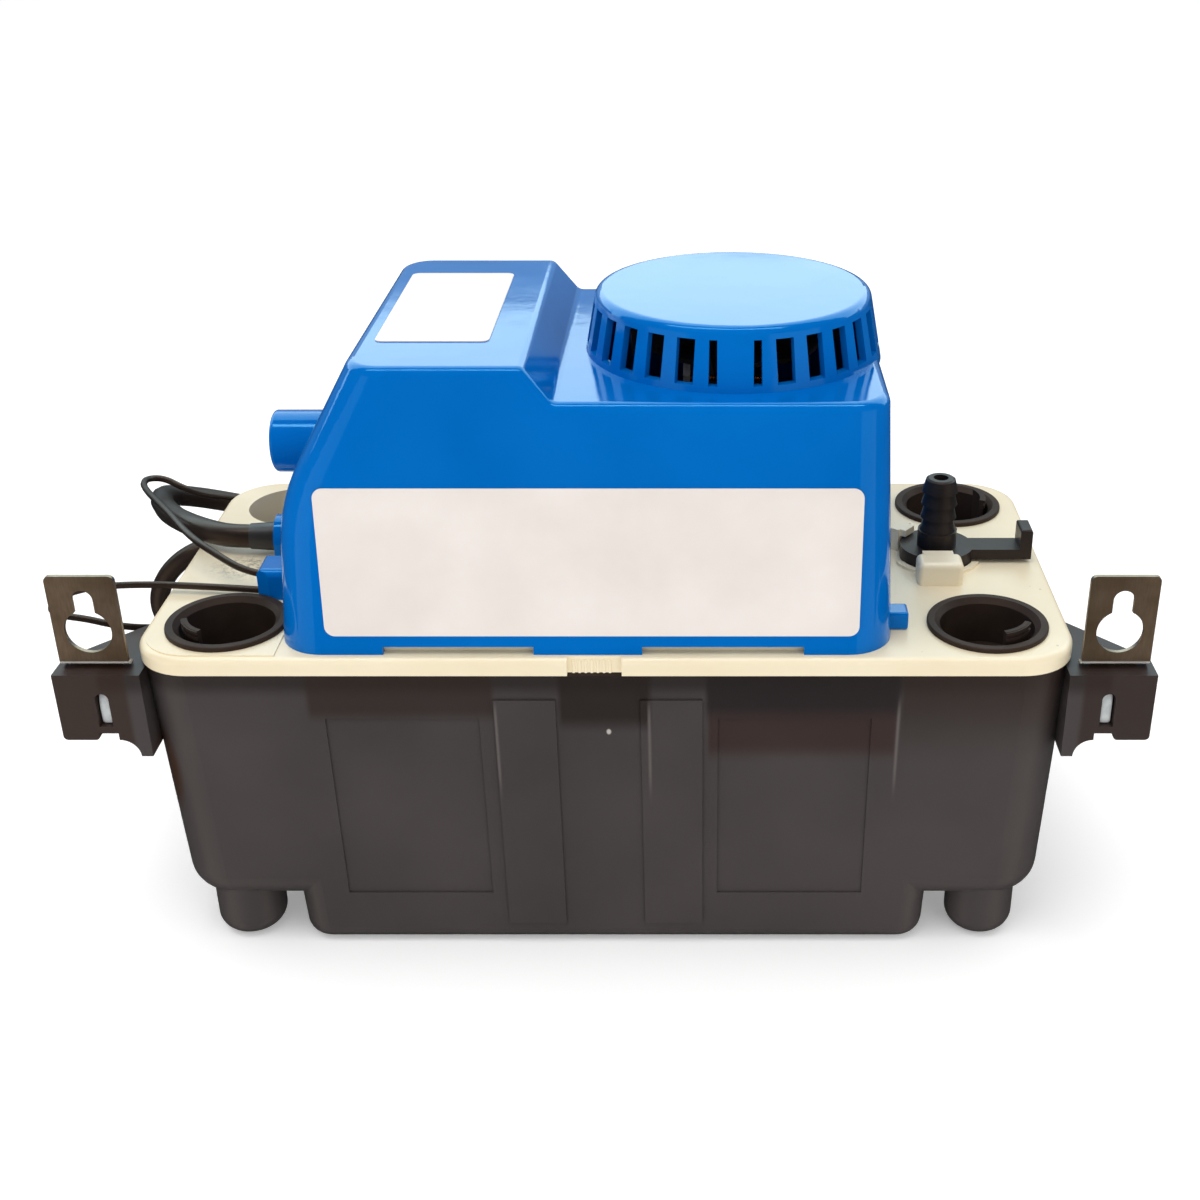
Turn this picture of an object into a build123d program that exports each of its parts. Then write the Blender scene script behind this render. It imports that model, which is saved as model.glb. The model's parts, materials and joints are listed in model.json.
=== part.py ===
"""Condensate pump: a tank with a moulded lid, and a covered motor that drives a pump in the sump.

Millimetres. X runs along the tank, Y from the labelled front to the back, Z is up. The origin is
the middle of the pump's footprint, on the surface that it stands on.
"""
import os
from math import cos, degrees, hypot, pi, radians, sin, sqrt, tan

from build123d import *

# ---- tank -------------------------------------------------------------------------------------
TANK_LENGTH = 242.0        # at the rim
TANK_WIDTH = 112.0         # at the rim
TANK_RIM = 89.3            # height of the rim
TANK_WALL = 2.0
TANK_CORNER_R = 13.0
END_DRAFT = 1.6            # degrees
SIDE_DRAFT = 2.9           # degrees
BAY_FLOOR = 14.0           # underside of the two end bays
BAY_EDGE_R = 9.5
SUMP_LENGTH = 176.0
SUMP_DRAFT = 2.0           # degrees, at the two ends
SUMP_CORNER_R = 7.5
SUMP_EDGE_R = 5.5
FOOT_R = 9.5
FOOT_X = 104.0
FOOT_Y = 41.0
FOOT_EDGE_R = 5.5
PANEL_DEPTH = 0.5
PANEL_Z = (18.0, TANK_RIM - 13.3)
PANELS_X = ((-73.0, -33.0), (29.0, 69.0))
BAND_HEIGHT = 0.6
BAND_TOP = TANK_RIM - 7.3
BAND_WIDTH = 16.0
BANDS_X = (-21.0, 17.0)    # centre of each stiffening band

# ---- hanging ears and brackets ------------------------------------------------------------------
EAR_REACH = 20.5           # beyond the tank's rim
EAR_DROP = 19.3            # outer block, below the rim
EAR_END_DEPTH = 9.0
EAR_ROOT_DEPTH = 30.0
EAR_NOTCH_X = (6.0, 11.0)  # notch in the underside, measured out from the rim
EAR_NOTCH_RISE = 2.0
EAR_COVE_R = 5.0
EAR_STEP_DROP = 24.3       # inner step, below the rim
SHEET = 1.2                # bracket sheet thickness
BRACKET_X = 131.2          # centre of each keyhole
BRACKET_WIDTH = 17.6
BRACKET_TOP = TANK_RIM + 26.5
BRACKET_LIFT = 2.0         # bend above the ear's top
BEND_END = 0.8             # lower end of the bend, above the ear's top
BRACKET_JOG = 2.2          # how far the tongue is set back from the plate
TONGUE_WIDTH = 12.0
TONGUE_DROP = 17.0         # below the rim
PLATE_SETBACK = 4.0        # plate's middle, behind the tank's front
PLATE_CORNER_R = 1.5
KEYHOLE_R = 6.0
KEYHOLE_Z = TANK_RIM + 10.9
KEY_SLOT_R = 2.65
KEY_SLOT_TOP = TANK_RIM + 22.5
WINDOW_X = (7.0, 10.6)     # window in the ear's front, measured out from the rim
WINDOW_DROP = (5.5, 15.3)  # below the rim

# ---- lid ----------------------------------------------------------------------------------------
LID_OVERHANG = (0.5, 2.0)  # beyond the tank's rim, at the ends and sides
LID_LENGTH = TANK_LENGTH + 2 * LID_OVERHANG[0]
LID_WIDTH = TANK_WIDTH + 2 * LID_OVERHANG[1]
LID_CORNER_R = 15.0
LID_TOP = TANK_RIM + 5.7
LID_RIM_HEIGHT = 4.7
LID_RIM_WALL = 3.5
LID_PLATE = 2.5
LID_EDGE_R = 1.8
LOCATING_RIB = (1.5, 6.5)  # thickness, depth below the plate
FIT_GAP = 0.4              # between the lid's underside features and the tank
NOTCH_X = (-9.4, 4.5)
NOTCH_DEPTH = 2.0
RIDGE_PITCH = 1.55
RIDGE_R = 0.4
STEP_Y = -26.0             # edge of the raised pad at the left front inlet
STEP_HEIGHT = 0.35
INLET_R = 13.6             # takes 3/4 in pipe
INLET_X = 100.0
INLET_Y = TANK_WIDTH / 2 - 17.0
INLET_DEPTH = 15.0
INLET_WALL = 1.4
CURB_HEIGHT = 3.0
CURB_WALL = 1.6

# ---- inlet plugs --------------------------------------------------------------------------------
PLUG_FLANGE_R = 15.9
PLUG_FLANGE = 1.2
PLUG_R = 13.3
PLUG_WALL = 0.9
PLUG_DEPTH = 12.5
PLUG_SEAT_GAP = 0.1
PLUG_MOUTH = 0.7           # bevel inside the plug's mouth
PLUG_SWEEP_GAP = 0.5       # round a plug, where it is pulled out past a hood
TAB_R = 11.0
TAB_THICK = 1.2
TAB_SPAN = 50.0            # degrees
TAB_RISE = 3.4             # above the lid
TAB_TURNS = (220.0, -50.0, 5.0)  # degrees, front left, front right and back right
PLUG_PULL = 30.0

# ---- motor cover ----------------------------------------------------------------------------------
COVER_LEFT = -83.8
COVER_RIGHT = 74.0
COVER_DEPTH = TANK_WIDTH - 1.2
COVER_WALL = 2.2
COVER_CORNER_R = 12.0
COVER_TOP_CORNER_R = 9.0
COVER_SIDE_DRAFT = 4.7     # degrees, front and back
COVER_RIGHT_DRAFT = 2.8    # degrees
COVER_LEFT_DRAFT = 4.4     # degrees, below the shoulder
COVER_SHOULDER_LEAN = 29.5 # degrees, above the shoulder
SHOULDER_Z = LID_TOP + 38.0
SHOULDER_BLEND = 22.0      # height over which the left wall bends
SHOULDER_STEPS = 6
HIGH_TOP = LID_TOP + 74.0
LOW_TOP = LID_TOP + 65.3
RAMP_HIGH_X = -18.0
RAMP_LOW_X = -11.0
RAMP_BLEND_R = 2.5
COVER_EDGE_R = 2.4
COVER_NOTCH = 2.2
COVER_NOTCHES_X = ((-56.2, -17.9), (9.7, 50.8))
LATCH_Y = -39.0
LATCH_SIZE = (4.8, 6.0, 5.0)
SPIGOT_R = 8.5
SPIGOT_X = -92.0
SPIGOT_Y = 0.0
SPIGOT_Z = LID_TOP + 36.6
SPIGOT_WALL = 2.0
MAINS_Y = 6.0
MAINS_Z = LID_TOP + 5.0
MAINS_HOOD_R = 6.4
MAINS_HOOD_X = -96.5
LEAD_HOOD_X = -95.5
LEAD_HOOD_Y = (14.4 - INLET_Y, 26.0 - INLET_Y)
LEAD_HOOD_TOP = LID_TOP + 8.6
HOOD_WALL = 1.5
LEAD_A_EXIT = (20.6 - INLET_Y, LID_TOP + 4.8)    # Y, Z
LEAD_B_EXIT = (17.4 - INLET_Y, LID_TOP + 1.6)    # Y, Z

# ---- vent dome --------------------------------------------------------------------------------------
DOME_TOP = LOW_TOP + 15.7
DOME_BASE_R = 38.6
DOME_TOP_R = 35.6
DOME_WALL = 2.0
DOME_EDGE_R = 2.2
SLOT_COUNT = 28
SLOT_ANGLE = 7.4           # degrees of arc
SLOT_Z = (LOW_TOP + 1.6, LOW_TOP + 12.6)
WIDE_RIB_ANGLE = 14.0      # degrees of arc, front and back
APRON_FRONT_X = (0.5, 64.5)
APRON_RISE = 2.6
APRON_SLOPE = 66.0         # degrees from vertical

# ---- labels -----------------------------------------------------------------------------------------
LABEL_THICK = 0.25
FRONT_LABEL = (135.0, 39.2, -2.9, LID_TOP + 24.8)   # width, height, middle X, middle Z
FRONT_LABEL_R = 2.6
TOP_LABEL_X = (-56.5, -28.0)
TOP_LABEL_Y = (-29.0, 33.0)
TOP_LABEL_R = 2.0

# ---- motor and pump -----------------------------------------------------------------------------------
MOTOR_X = 33.0
MOTOR_Y = -4.0
SHAFT_R = 2.5
SHAFT_BOTTOM = 12.5
SHAFT_TOP = LID_TOP + 74.0
RUN_GAP = 0.06             # running clearance of a shaft in its sleeve
STANDOFF_HEIGHT = 17.0
STANDOFF_R = 4.0
BOLT_SQUARE = 36.0         # spacing of the four motor screws
SCREW_R = 1.75
SCREW_HEAD_R = 3.4
SCREW_HEAD = 2.4
BRACKET_PLATE = 2.6
BRACKET_FOOT = 2.6
BRACKET_SPAN = 45.0
STACK = 18.0
STACK_SIZE = 48.0
ROTOR_R = 12.6
AIR_GAP = 0.4
LIMB_Y = 33.0              # wound limb, measured from the shaft
LIMB_WIDTH = 9.0
WINDOW_DEPTH = 8.0
COIL_LENGTH = 27.0
COIL_WALL = 7.0
BEARING_R = 6.0
BEARING_LENGTH = 6.5
BOSS_WALL = 2.2
FAN_R = 29.0
FAN_Z = (LOW_TOP + 1.2, LOW_TOP + 8.2)
FAN_HUB_R = 6.5
FAN_BLADES = 7
DAM_HEIGHT = 3.0
SLINGER_R = 8.0
COLUMN_R = 8.0
COLUMN_BORE_R = 5.0
VOLUTE_TOP = 24.0
VOLUTE_FLOOR = 10.0
VOLUTE_R = 20.0            # inside
VOLUTE_WALL = 2.0
IMPELLER_R = 17.0
IMPELLER_VANES = 6
VOLUTE_PLATE = 2.6
VOLUTE_SCREW_REACH = 5.0   # into the housing
VOLUTE_SCREW_HEAD = (2.6, 1.6)   # radius, height
EYE_R = 7.0
STRAINER_R = 14.0
STRAINER_HEIGHT = 4.6
STRAINER_SLOTS = 12
DISCHARGE_TUBE_R = 4.6
DISCHARGE_BORE_R = 3.2
OUTLET_X = 30.0            # riser, measured from the shaft
OUTLET_TOP = 36.0

# ---- check valve ----------------------------------------------------------------------------------------
VALVE_X = 91.7
VALVE_Y = 2.5
VALVE_DISC_R = 10.3
VALVE_DISC = 3.9
VALVE_LIFT = 0.3           # disc above the lid
STEM_R = 6.0
STEM_DROP = 10.0           # below the lid
SOCKET_GAP = 0.3
SOCKET_WALL = 2.2
SOCKET_DEPTH = 15.0
SEAL_THICK = 2.0
BARB_BASE_R = 5.5
BARB_ROOT_R = 4.1
BARB_TIP_R = 5.05
BARB_PITCH = 3.9
BARB_COUNT = 4
BARB_BASE_TOP = LID_TOP + 9.0
BARB_BORE_R = 2.1
LEVER_REACH = 26.5
LEVER_WIDTH = 8.0
LEVER_THICK = 3.0
LEVER_GAP = 0.4            # over the guard on the lid
THUMB = (3.4, 5.9)         # thickness, height above the lever
BALL_R = 3.2
BALL_ROOM = 0.4
BALL_TRAVEL = 3.0
SEAT_R = 2.2
HOOK_GAP = 0.4

# ---- float and switches -------------------------------------------------------------------------------
PIVOT_X = -22.0
PIVOT_Z = LID_TOP - 15.0
PIN_R = 1.5
HUB_R = 3.6
HUB_HALF = 8.6
CHEEK = 2.4
PAD_REACH = 19.0
PAD_TOP = 2.0              # above the pivot
FLOAT_SIZE = (34.0, 36.0, 22.0)
FLOAT_MIDDLE = (-62.0, PIVOT_Z - 34.0)   # X, Z
ROD_R = 1.5
ROD_GAP = 0.3
ROD_REST = 0.3             # under the rod, above the pad
RUN_ROD = (-32.0, -5.0)
OVERFLOW_ROD = (-38.0, 5.0)
ROD_COLLAR_R = 3.0
SWITCH_SIZE = (28.0, 9.0, 17.5)
SWITCH_X = -36.0
SWITCH_BOTTOM = LID_TOP + 12.0
ROD_ENTRY = 1.0            # rod's end inside its switch
SWITCH_HOLE_DEPTH = 9.8
SWITCH_SCREW_SPACING = 20.0
SWITCH_SCREW_R = 1.3
SWITCH_SCREW_INSET = 4.0   # below the switches' top
SWITCH_SCREW_HEAD = (2.5, 1.6)   # radius, height
PLATE_THICK = 1.5
PLATE_MARGIN = 3.0         # beyond each end of the switches
FOOT_DEPTH = 14.0          # of the bracket's foot
FOOT_SCREW_REACH = 9.0     # from the plate to the foot's screws
TERMINAL = (4.8, 0.8, 7.0)
TERMINAL_PITCH = 9.0

# ---- cords ------------------------------------------------------------------------------------------------
MAINS_R = 3.4
LEAD_R = 1.0
RELIEF_R = (4.2, 3.7)      # at the cover, at the tip
MAINS_ROUTE = [
    (-104.3, 6.0, 100.0), (-110.4, 6.0, 100.0), (-117.6, 9.9, 99.8), (-124.6, 15.6, 99.2),
    (-131.0, 23.0, 98.0), (-136.6, 31.6, 96.6), (-141.4, 41.5, 95.0), (-145.4, 52.5, 92.2),
    (-145.2, 62.5, 88.6), (-139.6, 69.6, 84.8), (-130.6, 73.2, 81.4), (-120.0, 75.2, 78.2),
    (-109.0, 77.2, 75.0), (-98.0, 80.2, 71.6), (-87.6, 85.4, 68.4), (-79.4, 93.6, 65.4),
    (-75.2, 104.6, 62.6), (-76.4, 116.0, 60.0), (-83.0, 125.8, 57.8), (-93.0, 132.0, 56.0),
    (-105.0, 133.6, 54.8), (-117.0, 129.6, 54.0), (-128.6, 122.0, 53.2), (-140.0, 113.4, 52.0),
    (-150.6, 106.0, 50.6), (-160.6, 102.4, 46.6), (-168.2, 101.6, 38.2), (-171.6, 103.2, 27.4),
    (-169.2, 106.0, 16.4), (-161.4, 108.0, 8.0), (-150.4, 108.6, 4.2), (-136.0, 107.2, 3.6),
    (-118.0, 103.6, 3.5), (-98.0, 97.4, 3.5), (-78.0, 90.8, 3.5), (-58.0, 86.2, 3.5),
    (-42.0, 84.4, 3.5), (-30.0, 84.0, 3.5)]
MAINS_TAIL = [(-30.0, 84.0, 10.2), (-12.0, 84.2, 10.1), (4.0, 83.4, 9.4), (16.0, 83.0, 8.6), (26.0, 83.0, 8.6)]
LEAD_A_ROUTE = [
    (-95.5, -18.4, 99.8), (-101.0, -17.4, 100.6), (-108.4, -12.2, 102.2), (-115.4, -6.6, 103.6),
    (-121.8, 1.0, 104.2), (-128.4, 11.2, 104.3), (-134.6, 20.4, 104.0), (-140.6, 29.4, 103.4),
    (-145.0, 37.6, 102.8), (-145.6, 43.6, 102.2), (-141.2, 46.2, 101.2), (-135.4, 44.6, 98.6),
    (-130.4, 47.2, 95.2), (-125.6, 51.8, 92.6), (-121.6, 57.6, 88.6), (-118.6, 61.8, 80.0),
    (-117.6, 63.4, 66.0), (-117.8, 63.9, 50.0), (-117.6, 63.7, 34.0), (-117.4, 63.8, 18.0),
    (-116.8, 63.6, 8.0), (-113.8, 64.6, 2.4), (-110.0, 66.8, 1.1), (-106.0, 67.4, 1.1)]
LEAD_B_ROUTE = [
    (-95.5, -21.6, 96.6), (-104.0, -21.0, 96.9), (-115.0, -20.4, 97.2), (-126.0, -19.5, 97.2),
    (-137.0, -19.3, 96.8), (-147.0, -19.0, 95.2), (-154.0, -18.3, 91.6), (-156.0, -17.0, 87.6),
    (-153.2, -15.6, 85.4), (-147.5, -14.6, 84.0), (-141.2, -13.2, 81.4), (-136.4, -9.6, 78.6),
    (-133.0, -1.0, 74.0), (-131.0, 12.0, 66.0), (-130.0, 27.0, 55.0), (-129.6, 42.0, 42.0),
    (-129.6, 55.0, 28.0), (-129.4, 64.0, 15.0), (-129.6, 70.4, 5.6), (-129.9, 74.8, 1.5), (-130.0, 78.4, 1.1)]
COIL_MIDDLE = (-30.0, 120.0)
COIL_MID_R = 36.0
COIL_COLUMNS = 3
COIL_LAYERS = 2
LEAD_COIL_MIDDLES = {"a": (-106.0, 78.4), "b": (-141.0, 78.4)}
LEAD_COIL_MID_R = 11.0
LEAD_COIL_COLUMNS = 2
LEAD_COIL_LAYERS = 2
PLUG_BODY = (30.0, 25.0, 17.0)
PLUG_NECK = (9.0, 4.4)     # length, radius
BLADE = (16.0, 1.5, 6.3)
BLADE_SPACING = 12.7
EARTH_PIN_R = 2.4
EARTH_OFFSET = 11.9

# ---- worked out ---------------------------------------------------------------------------------------------
LID_UNDER = LID_TOP - LID_PLATE
RIM_UNDER = LID_TOP - LID_RIM_HEIGHT
RIM_X = TANK_LENGTH / 2
RIM_Y = TANK_WIDTH / 2
BOLTS = [(MOTOR_X + sx * BOLT_SQUARE / 2, MOTOR_Y + sy * BOLT_SQUARE / 2)
         for sx in (-1, 1) for sy in (-1, 1)]
LOWER_BRACKET_Z = LID_TOP + STANDOFF_HEIGHT
STACK_Z = LOWER_BRACKET_Z + BRACKET_PLATE + BRACKET_FOOT
STACK_TOP = STACK_Z + STACK
UPPER_BRACKET_TOP = STACK_TOP + BRACKET_FOOT + BRACKET_PLATE
VALVE_SEAT_Z = LID_TOP - STEM_DROP + 3.2
DISC_Z = LID_TOP + VALVE_LIFT
DISC_TOP = DISC_Z + VALVE_DISC
LEVER_LOW = DISC_TOP - LEVER_THICK
SOCKET_R = STEM_R + SOCKET_GAP
STEM_BOTTOM = LID_TOP - STEM_DROP
SWITCH_TOP = SWITCH_BOTTOM + SWITCH_SIZE[2]
SWITCH_SCREW_Z = SWITCH_TOP - SWITCH_SCREW_INSET
SWITCH_PLATE_Y = OVERFLOW_ROD[1] + SWITCH_SIZE[1] / 2
FOOT_SCREW_Y = SWITCH_PLATE_Y + FOOT_SCREW_REACH
BUSH_TOP = LID_TOP + 2.0
BUSH_DROP = 2.0            # of each rod's bush, below the plate
ROD_BOTTOM = PIVOT_Z + PAD_TOP + ROD_REST


def tube(outer_r, inner_r, z_low, z_high, x=0.0, y=0.0):
    """Upright tube between two heights."""
    height = z_high - z_low
    ring = Cylinder(outer_r, height) - Cylinder(inner_r, height)
    return Pos(x, y, z_low + height / 2) * ring


def rod(radius, z_low, z_high, x=0.0, y=0.0):
    """Upright round bar between two heights."""
    return Pos(x, y, (z_low + z_high) / 2) * Cylinder(radius, z_high - z_low)


def block(x_range, y_range, z_range):
    """Box between two corners, given as a range along each axis."""
    sizes = [high - low for low, high in (x_range, y_range, z_range)]
    middles = [(high + low) / 2 for low, high in (x_range, y_range, z_range)]
    return Pos(*middles) * Box(*sizes)


def group(solids):
    """Several separate solids kept as one node."""
    return Compound(children=[solid for item in solids for solid in item.solids()])


def mirrored(shape):
    """The same piece for the left end."""
    return mirror(shape, about=Plane.YZ)


# ---- tank ---------------------------------------------------------------------------------------------------
def tank_form(inset=0.0):
    """Outside of the tank, or its cavity when the inset is the wall."""
    def section(half_length, half_width, corner_r, z):
        plan = RectangleRounded(2 * (half_length - inset), 2 * (half_width - inset), corner_r - inset)
        return Pos(0, 0, z) * plan

    def side(z):
        return RIM_Y - (TANK_RIM - z) * tan(radians(SIDE_DRAFT))

    def end(z):
        return RIM_X - (TANK_RIM - z) * tan(radians(END_DRAFT))

    def sump_end(z):
        return SUMP_LENGTH / 2 - (BAY_FLOOR + BAY_EDGE_R - z) * tan(radians(SUMP_DRAFT))

    floor = BAY_FLOOR + inset
    bays = loft([section(end(floor), side(floor), TANK_CORNER_R, floor),
                 section(end(TANK_RIM), side(TANK_RIM), TANK_CORNER_R, TANK_RIM)], ruled=True)
    bays = fillet(bays.faces().sort_by(Axis.Z)[0].edges(), BAY_EDGE_R - inset)
    join = BAY_FLOOR + BAY_EDGE_R + 4.0
    sump = loft([section(sump_end(inset), side(inset), SUMP_CORNER_R, inset),
                 section(sump_end(join), side(join), SUMP_CORNER_R, join)], ruled=True)
    sump = fillet(sump.faces().sort_by(Axis.Z)[0].edges(), SUMP_EDGE_R - inset)
    return bays + sump


def ear():
    """Right-hand hanging ear: a block with a coved underside and a pocket for the bracket."""
    rim, reach = RIM_X, RIM_X + EAR_REACH
    low, step = TANK_RIM - EAR_DROP, TANK_RIM - EAR_STEP_DROP
    notch_in, notch_out = rim + EAR_NOTCH_X[0], rim + EAR_NOTCH_X[1]
    cove = CenterArc((notch_in, low - EAR_COVE_R), EAR_COVE_R, 90, 90)
    root = rim - TANK_WALL
    outline = Polyline((notch_in, low), (notch_in, low + EAR_NOTCH_RISE),
                       (notch_out, low + EAR_NOTCH_RISE), (notch_out, low), (reach, low),
                       (reach, TANK_RIM), (root, TANK_RIM), (root, step),
                       (notch_in - EAR_COVE_R, step))
    face = make_face(Curve() + [outline, cove])
    front = extrude(Plane.XZ * face, amount=RIM_Y, both=False)
    plan = Polyline((root, -RIM_Y), (reach, -RIM_Y), (reach, -RIM_Y + EAR_END_DEPTH),
                    (rim + 2.0, -RIM_Y + EAR_ROOT_DEPTH), (root, -RIM_Y + EAR_ROOT_DEPTH), close=True)
    ear_block = front & extrude(make_face(plan), amount=TANK_RIM)
    ear_block = fillet(ear_block.edges().filter_by(Axis.Y).filter_by(
        lambda e: e.center().X > notch_out - 0.1 and e.center().Z < low + 0.1), 1.2)
    tongue_y = -RIM_Y + PLATE_SETBACK + BRACKET_JOG
    pocket = block((BRACKET_X - TONGUE_WIDTH / 2, BRACKET_X + TONGUE_WIDTH / 2),
                   (tongue_y - SHEET / 2, tongue_y + SHEET / 2),
                   (TANK_RIM - TONGUE_DROP, TANK_RIM))
    window_top = TANK_RIM - WINDOW_DROP[0]
    window_low = TANK_RIM - WINDOW_DROP[1]
    half = (WINDOW_X[1] - WINDOW_X[0]) / 2
    middle = rim + WINDOW_X[0] + half
    depth = (-RIM_Y - 1.0, tongue_y)
    window = block((middle - half, middle + half), depth, (window_low, window_top - half))
    arch = Pos(middle, sum(depth) / 2, window_top - half) * Rot(90, 0, 0) * Cylinder(
        half, depth[1] - depth[0])
    return ear_block - pocket - window - arch


def tank():
    """Open tub with a deep sump between two raised end bays, four feet and two ears."""
    outside = tank_form()
    for x_range in PANELS_X:
        recess = block(x_range, (-RIM_Y - 1, 0), PANEL_Z) & (outside - tank_form(PANEL_DEPTH))
        outside = outside - recess
    for x in BANDS_X:
        strip = block((x - BAND_WIDTH / 2, x + BAND_WIDTH / 2), (-RIM_Y - 1, 0),
                      (SUMP_EDGE_R + 2.0, BAND_TOP))
        outside = outside + (strip & tank_form(-BAND_HEIGHT))
    body = outside
    for sx in (-1, 1):
        for sy in (-1, 1):
            foot = rod(FOOT_R, 0, BAY_FLOOR + BAY_EDGE_R, sx * FOOT_X, sy * FOOT_Y)
            body = body + fillet(foot.edges().sort_by(Axis.Z)[0], FOOT_EDGE_R)
    right_ear = ear()
    body = body + right_ear + mirrored(right_ear)
    return body - tank_form(TANK_WALL)


def tank_gasket():
    """Flat rubber ring on the tank's rim, under the lid."""
    ring = RectangleRounded(TANK_LENGTH, TANK_WIDTH, TANK_CORNER_R) - RectangleRounded(
        TANK_LENGTH - 2 * TANK_WALL, TANK_WIDTH - 2 * TANK_WALL, TANK_CORNER_R - TANK_WALL)
    return extrude(Pos(0, 0, TANK_RIM) * ring, amount=RIM_UNDER - TANK_RIM)


def hanger_bracket():
    """Right-hand stainless hanger: keyhole plate, rounded jog and a tongue in the ear's pocket."""
    plate_y = -RIM_Y + PLATE_SETBACK
    tongue_y = plate_y + BRACKET_JOG
    bend = TANK_RIM + BRACKET_LIFT
    path = FilletPolyline((plate_y, BRACKET_TOP), (plate_y, bend), (tongue_y, TANK_RIM + BEND_END),
                          (tongue_y, TANK_RIM - TONGUE_DROP), radius=0.9)
    strip = Plane.YZ * trace(path, SHEET)
    full = Pos(BRACKET_X, 0, 0) * extrude(strip, amount=BRACKET_WIDTH / 2, both=True)
    wide = block((BRACKET_X - BRACKET_WIDTH / 2, BRACKET_X + BRACKET_WIDTH / 2),
                 (-RIM_Y, 0), (TANK_RIM + 0.4, BRACKET_TOP + 1))
    narrow = block((BRACKET_X - TONGUE_WIDTH / 2, BRACKET_X + TONGUE_WIDTH / 2),
                   (-RIM_Y, 0), (0, BRACKET_TOP))
    plate = (full & wide) + (full & narrow)
    plate = fillet(plate.edges().filter_by(Axis.Y).sort_by(Axis.Z)[-2:], PLATE_CORNER_R)
    cut_depth = 4 * SHEET
    hole = Pos(BRACKET_X, plate_y, KEYHOLE_Z) * Rot(90, 0, 0) * Cylinder(KEYHOLE_R, cut_depth)
    slot_end = KEY_SLOT_TOP - KEY_SLOT_R
    slot = block((BRACKET_X - KEY_SLOT_R, BRACKET_X + KEY_SLOT_R),
                 (plate_y - cut_depth / 2, plate_y + cut_depth / 2), (KEYHOLE_Z, slot_end))
    round_end = Pos(BRACKET_X, plate_y, slot_end) * Rot(90, 0, 0) * Cylinder(KEY_SLOT_R, cut_depth)
    return plate - hole - slot - round_end


# ---- lid ----------------------------------------------------------------------------------------------------
def inlet_places():
    """Middle of each of the four inlets."""
    return [(sx * INLET_X, sy * INLET_Y) for sx in (-1, 1) for sy in (-1, 1)]


def cover_section(z, inset=0.0, left=None):
    """Plan of the motor cover at a height."""
    rise = z - LID_TOP
    share = rise / (HIGH_TOP - LID_TOP)
    corner = COVER_CORNER_R + (COVER_TOP_CORNER_R - COVER_CORNER_R) * share
    left = cover_left(z) if left is None else left
    right = COVER_RIGHT - rise * tan(radians(COVER_RIGHT_DRAFT))
    depth = COVER_DEPTH - 2 * rise * tan(radians(COVER_SIDE_DRAFT))
    plan = RectangleRounded(right - left - 2 * inset, depth - 2 * inset, corner - inset)
    return Pos((left + right) / 2, 0, z) * plan


def cover_left(z):
    """Left wall of the cover: a steep lower part that bends smoothly into a leaning shoulder."""
    low, high = tan(radians(COVER_LEFT_DRAFT)), tan(radians(COVER_SHOULDER_LEAN))
    start = SHOULDER_Z - SHOULDER_BLEND / 2
    x = COVER_LEFT + (z - LID_TOP) * low
    if z > start:
        bent = min(z - start, SHOULDER_BLEND)
        x += (high - low) * (bent ** 2 / (2 * SHOULDER_BLEND) + max(z - start - SHOULDER_BLEND, 0))
    return x


def lid_curb():
    """Low wall on the lid that the motor cover drops over."""
    inset = COVER_WALL + FIT_GAP
    outer = cover_section(LID_TOP, inset)
    inner = cover_section(LID_TOP, inset + CURB_WALL)
    curb = extrude(outer - inner, amount=CURB_HEIGHT)
    cable_gap = (LEAD_HOOD_Y[0] - HOOD_WALL, MAINS_Y + MAINS_HOOD_R + HOOD_WALL)
    return curb - block((COVER_LEFT, COVER_LEFT + 4 * COVER_WALL), cable_gap, (LID_TOP, LID_TOP + CURB_HEIGHT))


def valve_hooks():
    """Two hooks on the lid that hold the check valve's disc, and the low guard round it."""
    disc_edge = VALVE_Y - VALVE_DISC_R - HOOK_GAP
    hook_top = DISC_TOP + HOOK_GAP + 2.0
    lip_low = DISC_TOP + HOOK_GAP
    front = block((VALVE_X - 7.2, VALVE_X + 5.3), (disc_edge - 8.0, disc_edge), (LID_TOP - 0.5, hook_top))
    front = fillet(front.edges().filter_by(lambda e: e.center().Z > LID_TOP), 1.6)
    lip = block((VALVE_X - 5.2, VALVE_X + 3.3), (disc_edge - 2.0, disc_edge + 1.8), (lip_low, hook_top - 0.4))
    radius = VALVE_DISC_R + HOOK_GAP
    post = block((radius, radius + 3.0), (-3.2, 3.2), (LID_TOP - 0.5, hook_top))
    post_lip = block((radius - 1.8, radius + 1.0), (-2.4, 2.4), (lip_low, hook_top))
    rear = Pos(VALVE_X, VALVE_Y, 0) * Rot(0, 0, 142) * (post + post_lip)
    guard = tube(radius + 1.8, radius, LID_TOP - 0.5, LEVER_LOW - LEVER_GAP, VALVE_X, VALVE_Y)
    guard = guard & block((VALVE_X - 20, VALVE_X + 20), (VALVE_Y - 20, VALVE_Y - 4.5), (LID_UNDER, DISC_TOP))
    return front + lip + rear + guard


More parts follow.
